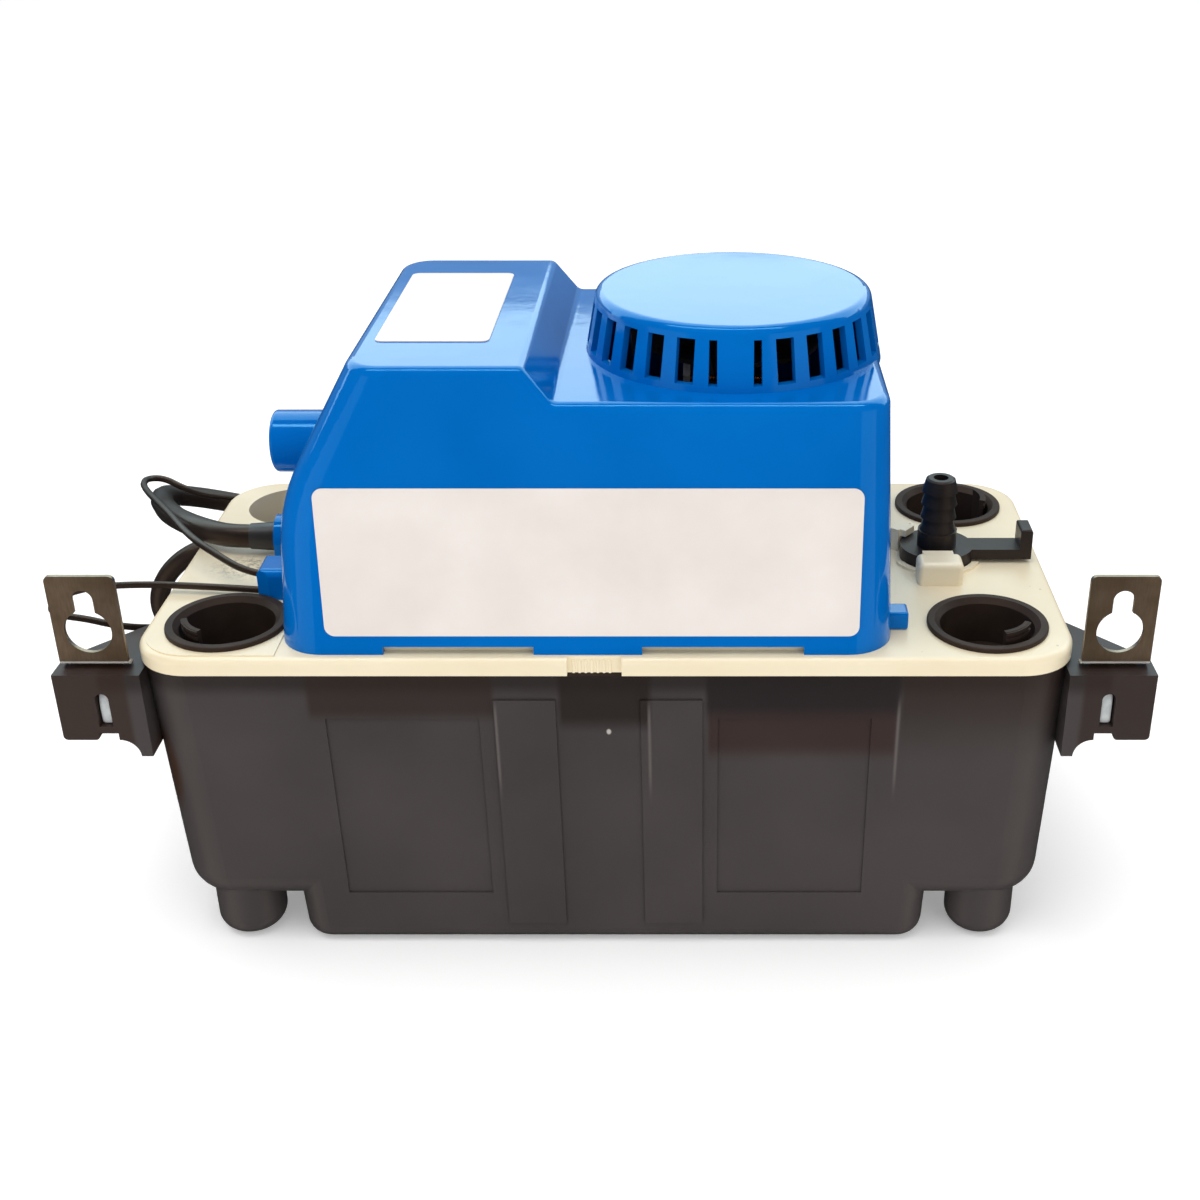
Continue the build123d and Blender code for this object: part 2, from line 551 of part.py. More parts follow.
def tank_lid():
    """Moulded lid: rim, locating rib, four inlet sleeves, valve socket, curb, dam and rod bushes."""
    plan = RectangleRounded(LID_LENGTH, LID_WIDTH, LID_CORNER_R)
    slab = extrude(Pos(0, 0, RIM_UNDER) * plan, amount=LID_RIM_HEIGHT)
    slab = fillet(slab.faces().sort_by(Axis.Z)[-1].edges(), LID_EDGE_R)
    hollow = RectangleRounded(LID_LENGTH - 2 * LID_RIM_WALL, LID_WIDTH - 2 * LID_RIM_WALL,
                              LID_CORNER_R - LID_RIM_WALL)
    lid = slab - extrude(Pos(0, 0, RIM_UNDER) * hollow, amount=LID_RIM_HEIGHT - LID_PLATE)

    inside = TANK_WALL + FIT_GAP
    rib_outer = RectangleRounded(TANK_LENGTH - 2 * inside, TANK_WIDTH - 2 * inside, TANK_CORNER_R - inside)
    rib_inner = RectangleRounded(TANK_LENGTH - 2 * (inside + LOCATING_RIB[0]),
                                 TANK_WIDTH - 2 * (inside + LOCATING_RIB[0]),
                                 TANK_CORNER_R - inside - LOCATING_RIB[0])
    under = extrude(Pos(0, 0, LID_UNDER) * (rib_outer - rib_inner), amount=-LOCATING_RIB[1])
    for x, y in inlet_places():
        under = under + rod(INLET_R + INLET_WALL, LID_TOP - INLET_DEPTH, LID_UNDER + 1, x, y)
    under = under + rod(SOCKET_R + SOCKET_WALL, LID_TOP - SOCKET_DEPTH, LID_UNDER + 1, VALVE_X, VALVE_Y)
    under = under + rod(COLUMN_R + 2.0, LID_UNDER - 4.0, LID_UNDER + 1, MOTOR_X, MOTOR_Y)
    room = tank_form(TANK_WALL + FIT_GAP) + block(
        (-RIM_X + TANK_WALL + FIT_GAP, RIM_X - TANK_WALL - FIT_GAP),
        (-RIM_Y + TANK_WALL + FIT_GAP, RIM_Y - TANK_WALL - FIT_GAP), (TANK_RIM - 1, LID_UNDER + 1))
    lid = lid + (under & room)

    left_pad = block((-LID_LENGTH / 2, COVER_LEFT), (-LID_WIDTH / 2, STEP_Y),
                     (LID_TOP - 0.5, LID_TOP + STEP_HEIGHT))
    pad_plan = RectangleRounded(LID_LENGTH - 2 * LID_EDGE_R, LID_WIDTH - 2 * LID_EDGE_R,
                                LID_CORNER_R - LID_EDGE_R)
    lid = lid + (left_pad & extrude(Pos(0, 0, LID_TOP - 1) * pad_plan, amount=3))
    lid = lid + lid_curb() + valve_hooks()
    lid = lid + rod(SLINGER_R - 1.0, LID_UNDER, LID_TOP + DAM_HEIGHT, MOTOR_X, MOTOR_Y)
    for x, y in (RUN_ROD, OVERFLOW_ROD):
        lid = lid + rod(ROD_R + ROD_GAP + 1.6, LID_UNDER - BUSH_DROP, BUSH_TOP, x, y)

    for x, y in inlet_places():
        lid = lid - rod(INLET_R, LID_TOP - INLET_DEPTH, LID_TOP + 1, x, y)
    lid = lid - rod(SOCKET_R, STEM_BOTTOM - SOCKET_GAP, LID_TOP + 1, VALVE_X, VALVE_Y)
    lid = lid - rod(DISCHARGE_TUBE_R, LID_TOP - SOCKET_DEPTH - 1, LID_TOP, VALVE_X, VALVE_Y)
    lid = lid - rod(COLUMN_BORE_R, LID_UNDER - 5, LID_TOP + DAM_HEIGHT, MOTOR_X, MOTOR_Y)
    lid = lid - rod(COLUMN_R, LID_UNDER - 5, LID_UNDER - 1.5, MOTOR_X, MOTOR_Y)
    for x, y in (RUN_ROD, OVERFLOW_ROD):
        lid = lid - rod(ROD_R + ROD_GAP, 0, BUSH_TOP, x, y)
    for x, y in BOLTS:
        lid = lid - rod(SCREW_R, LID_UNDER, LID_TOP, x, y)
    for x in bracket_screw_places():
        lid = lid - rod(SCREW_R, LID_UNDER, LID_TOP, x, FOOT_SCREW_Y)

    front = -LID_WIDTH / 2
    lid = lid - block(NOTCH_X, (front, front + NOTCH_DEPTH), (RIM_UNDER, LID_TOP))
    ridge_count = int((NOTCH_X[1] - NOTCH_X[0]) / RIDGE_PITCH) - 1
    for i in range(ridge_count):
        x = NOTCH_X[0] + RIDGE_PITCH * (i + 1)
        lid = lid + rod(RIDGE_R, RIM_UNDER, LID_TOP - 1.0, x, front + NOTCH_DEPTH)
    return lid


def inlet_plug(x, y, tab_direction):
    """Rubber plug: a flanged cup with a free-standing pull tab and two grip ribs."""
    seat = LID_TOP + PLUG_SEAT_GAP + (STEP_HEIGHT if y < STEP_Y and x < 0 else 0)
    bottom = LID_TOP - PLUG_DEPTH
    flange = rod(PLUG_FLANGE_R, seat, seat + PLUG_FLANGE)
    flange = fillet(flange.edges().sort_by(Axis.Z)[-1], 0.5)
    cup = flange + rod(PLUG_R, bottom, seat + 0.1)
    mouth = Pos(0, 0, seat + PLUG_FLANGE - PLUG_MOUTH) * Cone(
        PLUG_R - PLUG_WALL, PLUG_R - PLUG_WALL + 2 * PLUG_MOUTH, 2 * PLUG_MOUTH)
    cup = cup - rod(PLUG_R - PLUG_WALL, bottom + PLUG_WALL, seat + PLUG_FLANGE) - mouth
    tab_top = LID_TOP + TAB_RISE
    arc = tube(TAB_R, TAB_R - TAB_THICK, bottom + PLUG_WALL - 0.2, tab_top)
    for i in range(2):
        rib_z = tab_top - 0.5 - 1.7 * i
        arc = arc + tube(TAB_R + 0.5, TAB_R - 0.2, rib_z - 0.4, rib_z + 0.4)
    half = radians(TAB_SPAN / 2)
    reach = 2 * TAB_R
    wedge = make_face(Polyline((0, 0), (reach * cos(half), -reach * sin(half)),
                               (reach * cos(half), reach * sin(half)), close=True))
    tab = arc & extrude(wedge, amount=2 * LID_TOP)
    return Pos(x, y, 0) * Rot(0, 0, tab_direction) * (cup + tab)


# ---- motor cover ---------------------------------------------------------------------------------------------
def cover_form(inset=0.0):
    """Outside of the cover without its dome, or its cavity when the inset is the wall."""
    top = HIGH_TOP - inset
    start = SHOULDER_Z - SHOULDER_BLEND / 2
    heights = [LID_TOP] + [start + SHOULDER_BLEND * i / SHOULDER_STEPS
                           for i in range(SHOULDER_STEPS + 1)] + [top]
    form = loft([cover_section(z, inset) for z in heights], ruled=True)
    low = LOW_TOP - inset
    slope = (RAMP_LOW_X - RAMP_HIGH_X) / (HIGH_TOP - LOW_TOP)
    above = 6.0
    high_x = RAMP_HIGH_X + inset * slope - above * slope - inset
    far = COVER_RIGHT + 10
    line = Polyline((RAMP_LOW_X - inset, low), (far, low), (far, top + above), (high_x, top + above),
                    (RAMP_LOW_X - inset, low))
    step = Pos(0, COVER_DEPTH, 0) * extrude(Plane.XZ * make_face(line), amount=2 * COVER_DEPTH)
    return form - step


def cover_rounded():
    """Outside of the cover with its top edges rounded."""
    form = cover_form()
    ramp_edges = form.edges().filter_by(Axis.Y).filter_by(
        lambda e: RAMP_HIGH_X - 1 < e.center().X < RAMP_LOW_X + 1)
    form = fillet(ramp_edges, RAMP_BLEND_R)

    def on_rim(edge):
        middle, along = edge.center(), edge.tangent_at(0.5)
        if middle.Z < LOW_TOP - 0.5:
            return False
        if RAMP_HIGH_X - 4 < middle.X < RAMP_LOW_X + 4:
            return abs(along.Y) < 0.9
        return abs(along.Z) < 0.5

    return fillet(form.edges().filter_by(on_rim), COVER_EDGE_R)


def dome_shell():
    """Raised vent dome with a ring of upright slots, on a sloping apron."""
    height = DOME_TOP - LOW_TOP
    sunk = 4.0
    flare = (DOME_BASE_R - DOME_TOP_R) / height
    outer = Pos(0, 0, LOW_TOP - sunk + (height + sunk) / 2) * Cone(
        DOME_BASE_R + flare * sunk, DOME_TOP_R, height + sunk)
    outer = fillet(outer.edges().sort_by(Axis.Z)[-1], DOME_EDGE_R)
    outer = outer & block((-60, 60), (-60, 60), (LOW_TOP - COVER_WALL, DOME_TOP))
    front_y = -(COVER_DEPTH / 2 - (LOW_TOP - LID_TOP) * tan(radians(COVER_SIDE_DRAFT))) - MOTOR_Y + 0.2
    rim = [CenterArc((0, 0), DOME_BASE_R + 0.6, 0, 360),
           Line((APRON_FRONT_X[0] - MOTOR_X, front_y + 1.0), (APRON_FRONT_X[1] - MOTOR_X, front_y + 1.0))]
    apron = extrude(Pos(0, 0, LOW_TOP - 0.8) * make_hull(rim), amount=APRON_RISE, taper=APRON_SLOPE)
    return Pos(MOTOR_X, MOTOR_Y, 0) * (outer + apron)


def dome_cavity():
    """Space inside the dome, with the slots through its wall."""
    height = DOME_TOP - DOME_WALL - LOW_TOP
    sunk = COVER_WALL + 2.0
    flare = (DOME_BASE_R - DOME_TOP_R) / (DOME_TOP - LOW_TOP)
    low_r = DOME_BASE_R - DOME_WALL + flare * sunk
    cavity = Pos(0, 0, LOW_TOP - sunk + (height + sunk) / 2) * Cone(
        low_r, low_r - flare * (height + sunk), height + sunk)
    cavity = cavity & rod(low_r - 1.2, LOW_TOP - sunk, DOME_TOP)
    z_middle = sum(SLOT_Z) / 2
    slot_height = SLOT_Z[1] - SLOT_Z[0]
    middle_r = (DOME_BASE_R + DOME_TOP_R) / 2 - DOME_WALL / 2
    width = 2 * middle_r * tan(radians(SLOT_ANGLE / 2))
    pitch = 360 / SLOT_COUNT
    slots = []
    for i in range(SLOT_COUNT):
        angle = -90 + pitch * (i + 0.5)
        slots.append(Rot(0, 0, angle) * Pos(middle_r, 0, z_middle) * Box(10, width, slot_height))
    wide = 2 * middle_r * tan(radians(WIDE_RIB_ANGLE / 2))
    ribs = block((-wide / 2, wide / 2), (-60, 60), SLOT_Z)
    return Pos(MOTOR_X, MOTOR_Y, 0) * (cavity + (Part() + slots - ribs))


def cover_hoods():
    """Spigot and the two cable hoods on the cover's left wall, with the openings through them."""
    spigot_length = COVER_LEFT + 14.0 - SPIGOT_X
    spigot = Pos(SPIGOT_X + spigot_length / 2, SPIGOT_Y, SPIGOT_Z) * Rot(0, 90, 0) * Cylinder(
        SPIGOT_R, spigot_length)
    spigot = fillet(spigot.edges().sort_by(Axis.X)[0], 1.0)
    root = COVER_LEFT + 4.0
    mains_length = root - MAINS_HOOD_X
    mains = Pos(MAINS_HOOD_X + mains_length / 2, MAINS_Y, MAINS_Z) * Rot(0, 90, 0) * Cylinder(
        MAINS_HOOD_R, mains_length)
    mains = mains + block((MAINS_HOOD_X, root), (MAINS_Y - MAINS_HOOD_R, MAINS_Y + MAINS_HOOD_R),
                          (LID_TOP, MAINS_Z))
    mains = mains & block((MAINS_HOOD_X - 1, root), (-50, 50), (LID_TOP, HIGH_TOP))
    leads = block((LEAD_HOOD_X, root), LEAD_HOOD_Y, (LID_TOP, LEAD_HOOD_TOP))
    leads = fillet(leads.edges().filter_by(lambda e: e.center().Z > LEAD_HOOD_TOP - 0.1
                                           and e.center().X < root - 0.1), 2.0)
    pulled_plug = rod(PLUG_FLANGE_R + PLUG_SWEEP_GAP, LID_TOP, 2 * LID_TOP, -INLET_X, -INLET_Y)
    solid = spigot + mains + (leads - pulled_plug)
    spigot_bore = Pos(SPIGOT_X + SPIGOT_WALL + spigot_length / 2, SPIGOT_Y, SPIGOT_Z) * Rot(
        0, 90, 0) * Cylinder(SPIGOT_R - SPIGOT_WALL, spigot_length)
    mains_bore = Pos(MAINS_HOOD_X + mains_length / 2, MAINS_Y, MAINS_Z) * Rot(0, 90, 0) * Cylinder(
        RELIEF_R[0], mains_length + 2)
    lead_room = block((LEAD_HOOD_X + HOOD_WALL, root + 1),
                      (LEAD_HOOD_Y[0] + HOOD_WALL, LEAD_HOOD_Y[1] - HOOD_WALL),
                      (LID_TOP - 1, LEAD_HOOD_TOP - HOOD_WALL))
    voids = spigot_bore + mains_bore + lead_room
    for y, z in (LEAD_A_EXIT, LEAD_B_EXIT):
        voids = voids + Pos(LEAD_HOOD_X, y, z) * Rot(0, 90, 0) * Cylinder(LEAD_R, 4 * HOOD_WALL)
    return solid, voids


def motor_cover():
    """Hollow cover that snaps over the lid's curb, with its dome, hoods, spigot and latch."""
    solid, voids = cover_hoods()
    latch_x = COVER_RIGHT - 1.5
    latch = block((latch_x, COVER_RIGHT + LATCH_SIZE[0]),
                  (LATCH_Y - LATCH_SIZE[1] / 2, LATCH_Y + LATCH_SIZE[1] / 2),
                  (LID_TOP, LID_TOP + LATCH_SIZE[2]))
    latch = fillet(latch.edges().filter_by(lambda e: e.center().X > COVER_RIGHT + 1), 0.7)
    shell = cover_rounded() + dome_shell() + solid - cover_form(COVER_WALL) + latch
    shell = shell - dome_cavity() - voids
    for x_range in COVER_NOTCHES_X:
        shell = shell - block(x_range, (-COVER_DEPTH, -COVER_DEPTH / 2 + COVER_WALL + 2),
                              (LID_TOP, LID_TOP + COVER_NOTCH))
    return shell


def front_label():
    """Plain sticker on the cover's front."""
    width, height, x, z = FRONT_LABEL
    y = -(COVER_DEPTH / 2 - (z - LID_TOP) * tan(radians(COVER_SIDE_DRAFT)))
    sheet = extrude(RectangleRounded(width, height, FRONT_LABEL_R), amount=LABEL_THICK)
    return Pos(x, y, z) * Rot(90 - COVER_SIDE_DRAFT, 0, 0) * sheet


def top_label():
    """Plain sticker on the cover's high top."""
    width, depth = TOP_LABEL_X[1] - TOP_LABEL_X[0], TOP_LABEL_Y[1] - TOP_LABEL_Y[0]
    sheet = extrude(RectangleRounded(width, depth, TOP_LABEL_R), amount=LABEL_THICK)
    return Pos(sum(TOP_LABEL_X) / 2, sum(TOP_LABEL_Y) / 2, HIGH_TOP) * sheet


# ---- motor ---------------------------------------------------------------------------------------------------
def motor_standoffs():
    """Four pillars between the lid and the motor."""
    return group([tube(STANDOFF_R, SCREW_R, LID_TOP, LOWER_BRACKET_Z, x, y) for x, y in BOLTS])


def bearing_bracket(upper):
    """Cross-shaped bracket with a boss for its sleeve bearing."""
    arm = BOLT_SQUARE * sqrt(2) + 2 * STANDOFF_R
    cross = Rot(0, 0, 45) * Box(arm, 2 * STANDOFF_R, BRACKET_PLATE)
    cross = cross + Rot(0, 0, -45) * Box(arm, 2 * STANDOFF_R, BRACKET_PLATE)
    away = 1 if upper else -1
    boss_length = BEARING_LENGTH + 1.0
    boss = Pos(0, 0, away * (boss_length - BRACKET_PLATE) / 2) * Cylinder(
        BEARING_R + BOSS_WALL, boss_length)
    bracket = cross + boss
    for sx in (-1, 1):
        for sy in (-1, 1):
            foot = Pos(sx * BOLT_SQUARE / 2, sy * BOLT_SQUARE / 2,
                       -away * (BRACKET_PLATE + BRACKET_FOOT) / 2) * Cylinder(STANDOFF_R, BRACKET_FOOT)
            bracket = bracket + foot
    bracket = bracket - Cylinder(BEARING_R, 6 * BEARING_LENGTH)
    for sx in (-1, 1):
        for sy in (-1, 1):
            bracket = bracket - Pos(sx * BOLT_SQUARE / 2, sy * BOLT_SQUARE / 2, 0) * Cylinder(SCREW_R, 30)
    z = UPPER_BRACKET_TOP - BRACKET_PLATE / 2 if upper else LOWER_BRACKET_Z + BRACKET_PLATE / 2
    return Pos(MOTOR_X, MOTOR_Y, z) * bracket


def motor_bearings():
    """Sleeve bearings in the two brackets."""
    low = LOWER_BRACKET_Z + BRACKET_PLATE - BEARING_LENGTH
    high = UPPER_BRACKET_TOP - BRACKET_PLATE
    return group([tube(BEARING_R, SHAFT_R + RUN_GAP, z, z + BEARING_LENGTH, MOTOR_X, MOTOR_Y)
                  for z in (low, high)])


def motor_stator():
    """Lamination stack: a pole square round the rotor and a limb that carries the coil."""
    half = STACK_SIZE / 2
    plan = Rectangle(STACK_SIZE, STACK_SIZE)
    arm_width = (STACK_SIZE - COIL_LENGTH) / 2 - 0.5
    far = LIMB_Y + LIMB_WIDTH / 2
    arms = [Pos(sx * (half - arm_width / 2), (half + far) / 2) * Rectangle(arm_width, far - half + 2)
            for sx in (-1, 1)]
    limb = Pos(0, LIMB_Y) * Rectangle(STACK_SIZE, LIMB_WIDTH)
    plan = plan + arms + [limb]
    plan = plan - Circle(ROTOR_R + AIR_GAP)
    holes = [Pos(sx * BOLT_SQUARE / 2, sy * BOLT_SQUARE / 2) * Circle(SCREW_R)
             for sx in (-1, 1) for sy in (-1, 1)]
    plan = plan - holes
    return Pos(MOTOR_X, MOTOR_Y, STACK_Z) * extrude(plan, amount=STACK)


def motor_coil():
    """Winding round the stack's limb."""
    depth = LIMB_WIDTH + 2 * min(COIL_WALL, LIMB_Y - LIMB_WIDTH / 2 - STACK_SIZE / 2 - 0.5)
    winding = Box(COIL_LENGTH - 4, depth, STACK + 2 * COIL_WALL)
    winding = fillet(winding.edges().filter_by(Axis.X), 2.5)
    return Pos(MOTOR_X, MOTOR_Y + LIMB_Y, STACK_Z + STACK / 2) * (winding - Box(COIL_LENGTH, LIMB_WIDTH, STACK))


def coil_bobbin():
    """Two end flanges of the coil's bobbin."""
    depth = LIMB_WIDTH + 2 * min(COIL_WALL, LIMB_Y - LIMB_WIDTH / 2 - STACK_SIZE / 2 - 0.5)
    flanges = []
    for sx in (-1, 1):
        flange = Pos(sx * (COIL_LENGTH / 2 - 1), 0, 0) * (
            Box(2, depth + 0.6, STACK + 2 * COIL_WALL + 2) - Box(2, LIMB_WIDTH, STACK))
        flanges.append(Pos(MOTOR_X, MOTOR_Y + LIMB_Y, STACK_Z + STACK / 2) * flange)
    return group(flanges)


def motor_screws():
    """Four long screws through the motor into the standoffs."""
    screws = []
    for x, y in BOLTS:
        shank = rod(SCREW_R, LID_UNDER + 0.2, UPPER_BRACKET_TOP, x, y)
        head = rod(SCREW_HEAD_R, UPPER_BRACKET_TOP, UPPER_BRACKET_TOP + SCREW_HEAD, x, y)
        screws.append(shank + fillet(head.edges().sort_by(Axis.Z)[-1], 0.8))
    return group(screws)


def motor_shaft():
    """Shaft from the impeller up to the fan."""
    shaft = rod(SHAFT_R, SHAFT_BOTTOM, SHAFT_TOP, MOTOR_X, MOTOR_Y)
    return chamfer(shaft.edges().filter_by(GeomType.CIRCLE), 0.4)


def on_shaft(part):
    """A part made round the Z axis, bored for the shaft and set on it."""
    return Pos(MOTOR_X, MOTOR_Y, 0) * (part - rod(SHAFT_R, 0, SHAFT_TOP + 5))


def rotor_core():
    """Squirrel-cage rotor, with an end ring at each face."""
    gap = 1.2
    core = rod(ROTOR_R, STACK_Z + gap, STACK_TOP - gap)
    rings = tube(ROTOR_R - 1.5, ROTOR_R - 5.5, STACK_Z + gap - 1.0, STACK_TOP - gap + 1.0)
    return on_shaft(core + rings)


def cooling_fan():
    """Fan on top of the shaft, with raked blades."""
    low, high = FAN_Z
    fan = rod(FAN_HUB_R, low, high)
    fan = fan + tube(FAN_R - 6, FAN_HUB_R, low, low + 1.2)
    length = FAN_R - FAN_HUB_R + 1.5
    for i in range(FAN_BLADES):
        blade = Box(length, 1.2, high - low)
        blade = Pos(FAN_HUB_R + length / 2 - 1.5, 0, (low + high) / 2) * Rot(16, 0, 0) * blade
        fan = fan + Rot(0, 0, 360 / FAN_BLADES * i) * blade
    return on_shaft(fan & rod(FAN_R, low, high))


def water_slinger():
    """Rubber disc that throws water off the shaft above the lid's dam."""
    low = LID_TOP + DAM_HEIGHT + 1.2
    skirt = tube(SLINGER_R, SLINGER_R - 1.0, low - 0.6, low + 1.0)
    return on_shaft(rod(SLINGER_R, low, low + 1.8) + rod(SHAFT_R + 1.8, low, low + 4.0) + skirt)


# ---- pump ------------------------------------------------------------------------------------------------------
def pump_column():
    """Tube that carries the volute below the lid, with drain slots near its foot."""
    column = tube(COLUMN_R, COLUMN_BORE_R, VOLUTE_TOP, LID_UNDER - 1.5)
    for i in range(4):
        slot = Pos(COLUMN_R, 0, VOLUTE_TOP + 20) * Box(2 * COLUMN_R, 4, 18)
        column = column - Rot(0, 0, 45 + 90 * i) * slot
    return Pos(MOTOR_X, MOTOR_Y, 0) * column


def screw_lugs():
    """Direction and radius of the volute's three screws."""
    radius = VOLUTE_R + VOLUTE_WALL + 2.0
    return [(radius * cos(radians(a)), radius * sin(radians(a))) for a in (-60, 120, 210)]


def volute_housing():
    """Pump chamber with a tangential channel into its outlet riser, open below."""
    channel_y = VOLUTE_R - DISCHARGE_BORE_R - 1.0
    outer = rod(VOLUTE_R + VOLUTE_WALL, VOLUTE_FLOOR, VOLUTE_TOP)
    half = DISCHARGE_TUBE_R + VOLUTE_WALL
    outer = outer + block((0, OUTLET_X), (channel_y - half, channel_y + half), (VOLUTE_FLOOR, VOLUTE_TOP))
    outer = outer + rod(half, VOLUTE_FLOOR, OUTLET_TOP, OUTLET_X, channel_y)
    for x, y in screw_lugs():
        outer = outer + rod(3.4, VOLUTE_FLOOR, VOLUTE_FLOOR + 6, x, y)
    ceiling = VOLUTE_TOP - VOLUTE_WALL
    inner = rod(VOLUTE_R, VOLUTE_FLOOR, ceiling)
    inner = inner + block((0, OUTLET_X), (channel_y - DISCHARGE_BORE_R, channel_y + DISCHARGE_BORE_R),
                          (VOLUTE_FLOOR + VOLUTE_WALL, ceiling))
    inner = inner + rod(DISCHARGE_BORE_R, VOLUTE_FLOOR + VOLUTE_WALL, VOLUTE_TOP, OUTLET_X, channel_y)
    inner = inner + rod(DISCHARGE_TUBE_R, VOLUTE_TOP, OUTLET_TOP, OUTLET_X, channel_y)
    inner = inner + rod(COLUMN_BORE_R, 0, VOLUTE_TOP)
    for x, y in screw_lugs():
        inner = inner + rod(SWITCH_SCREW_R, VOLUTE_FLOOR, VOLUTE_FLOOR + VOLUTE_SCREW_REACH, x, y)
    return Pos(MOTOR_X, MOTOR_Y, 0) * (outer - inner)


def volute_plate():
    """Bottom plate of the volute, with the inlet eye."""
    low = VOLUTE_FLOOR - VOLUTE_PLATE
    plate = rod(VOLUTE_R + VOLUTE_WALL, low, VOLUTE_FLOOR)
    for x, y in screw_lugs():
        plate = plate + rod(3.4, low, VOLUTE_FLOOR, x, y)
    plate = plate - rod(EYE_R, low, VOLUTE_FLOOR)
    for x, y in screw_lugs():
        plate = plate - rod(SWITCH_SCREW_R, low, VOLUTE_FLOOR, x, y)
    return Pos(MOTOR_X, MOTOR_Y, 0) * plate


def volute_screws():
    """Three screws that hold the volute's plate."""
    low = VOLUTE_FLOOR - VOLUTE_PLATE
    head_r, head_height = VOLUTE_SCREW_HEAD
    return Pos(MOTOR_X, MOTOR_Y, 0) * group(
        [rod(SWITCH_SCREW_R, low, VOLUTE_FLOOR + VOLUTE_SCREW_REACH, x, y)
         + rod(head_r, low - head_height, low, x, y) for x, y in screw_lugs()])


def inlet_strainer():
    """Slotted ring under the inlet eye that keeps grit out."""
    high = VOLUTE_FLOOR - VOLUTE_PLATE
    low = high - STRAINER_HEIGHT
    ring = tube(STRAINER_R, STRAINER_R - 1.6, low, high) + tube(STRAINER_R, EYE_R + 3.0, high - 1.0, high)
    for i in range(STRAINER_SLOTS):
        slot = Pos(STRAINER_R, 0, low + 1.2) * Box(6, 2.4, 2.4 + 0.01)
        ring = ring - Rot(0, 0, 360 / STRAINER_SLOTS * (i + 0.5)) * slot
    return Pos(MOTOR_X, MOTOR_Y, 0) * ring


def impeller():
    """Six-vane open impeller."""
    top = VOLUTE_TOP - VOLUTE_WALL - 1.2
    wheel = rod(IMPELLER_R, top - 1.6, top) + rod(SHAFT_R + 2.2, VOLUTE_FLOOR + 2.0, top)
    for i in range(IMPELLER_VANES):
        vane = Pos(IMPELLER_R / 2 + 2.0, 2.5, (VOLUTE_FLOOR + 2.0 + top) / 2) * Rot(0, 0, 22) * Box(
            IMPELLER_R - 4.0, 1.4, top - VOLUTE_FLOOR - 2.0)
        wheel = wheel + Rot(0, 0, 360 / IMPELLER_VANES * i) * vane
    return on_shaft(wheel & rod(IMPELLER_R, 0, top))


def discharge_tube():
    """Moulded riser from the volute to the check valve's socket."""
    channel_y = VOLUTE_R - DISCHARGE_BORE_R - 1.0
    x, y = MOTOR_X + OUTLET_X, MOTOR_Y + channel_y
    bend_z = LID_TOP - SOCKET_DEPTH - 14.0
    path = FilletPolyline((x, y, VOLUTE_TOP), (x, y, bend_z - 4.0), (VALVE_X, VALVE_Y, bend_z + 2.0),
                          (VALVE_X, VALVE_Y, STEM_BOTTOM - SOCKET_GAP), radius=9.0)
    start = Plane(origin=path @ 0, z_dir=path % 0)
    ring = start * (Circle(DISCHARGE_TUBE_R) - Circle(DISCHARGE_BORE_R))
    return sweep(ring, path=path)


# ---- check valve --------------------------------------------------------------------------------------------------
def barb_profile():
    """Half section of the valve body outside its bores, in radius and height."""
    points = [(0, STEM_BOTTOM), (STEM_R, STEM_BOTTOM), (STEM_R, DISC_Z), (VALVE_DISC_R, DISC_Z),
              (VALVE_DISC_R, DISC_TOP), (BARB_BASE_R, DISC_TOP), (BARB_BASE_R, BARB_BASE_TOP)]
    z = BARB_BASE_TOP
    for _ in range(BARB_COUNT):
        points += [(BARB_TIP_R, z), (BARB_ROOT_R, z + BARB_PITCH * 0.9)]
        z += BARB_PITCH
    return points[:-1] + [(BARB_ROOT_R, z - 0.4), (BARB_ROOT_R - 0.6, z), (0, z)]


def check_valve():
    """Barbed outlet with a locking disc, a lever with a thumb tab, and the ball's chamber."""
    body = revolve(Plane.XZ * make_face(Polyline(*barb_profile(), close=True)), Axis.Z)
    lever = block((VALVE_DISC_R - 3.0, LEVER_REACH), (-LEVER_WIDTH / 2, LEVER_WIDTH / 2), (LEVER_LOW, DISC_TOP))
    thumb = block((LEVER_REACH - THUMB[0], LEVER_REACH), (-LEVER_WIDTH / 2, LEVER_WIDTH / 2),
                  (LEVER_LOW, DISC_TOP + THUMB[1]))
    thumb = fillet(thumb.edges().sort_by(Axis.Z)[-4:], 0.8)
    body = body + lever + thumb
    for x in (LEVER_REACH * 0.5, LEVER_REACH * 0.72):
        body = body + block((x, x + 2.5), (-1.2, 1.2), (LEVER_LOW - 0.5, LEVER_LOW + 0.5))
    ball_top = VALVE_SEAT_Z + 2 * BALL_R + BALL_TRAVEL + 1.2
    body = body - rod(SEAT_R, STEM_BOTTOM, VALVE_SEAT_Z)
    body = body - rod(BALL_R + BALL_ROOM, VALVE_SEAT_Z, ball_top)
    body = body - rod(BARB_BORE_R, ball_top, BARB_BASE_TOP + BARB_COUNT * BARB_PITCH)
    groove_z = STEM_BOTTOM + 2.0
    body = body - tube(STEM_R + 1, STEM_R - SEAL_THICK + SOCKET_GAP, groove_z, groove_z + SEAL_THICK)
    return Pos(VALVE_X, VALVE_Y, 0) * body


def check_valve_seal():
    """Rubber ring in the groove of the valve's stem."""
    groove_z = STEM_BOTTOM + 2.0
    ring = tube(SOCKET_R - 0.08, STEM_R - SEAL_THICK + SOCKET_GAP, groove_z, groove_z + SEAL_THICK)
    return Pos(VALVE_X, VALVE_Y, 0) * fillet(ring.edges().filter_by(GeomType.CIRCLE).sort_by(
        lambda e: e.radius)[-2:], 0.7)


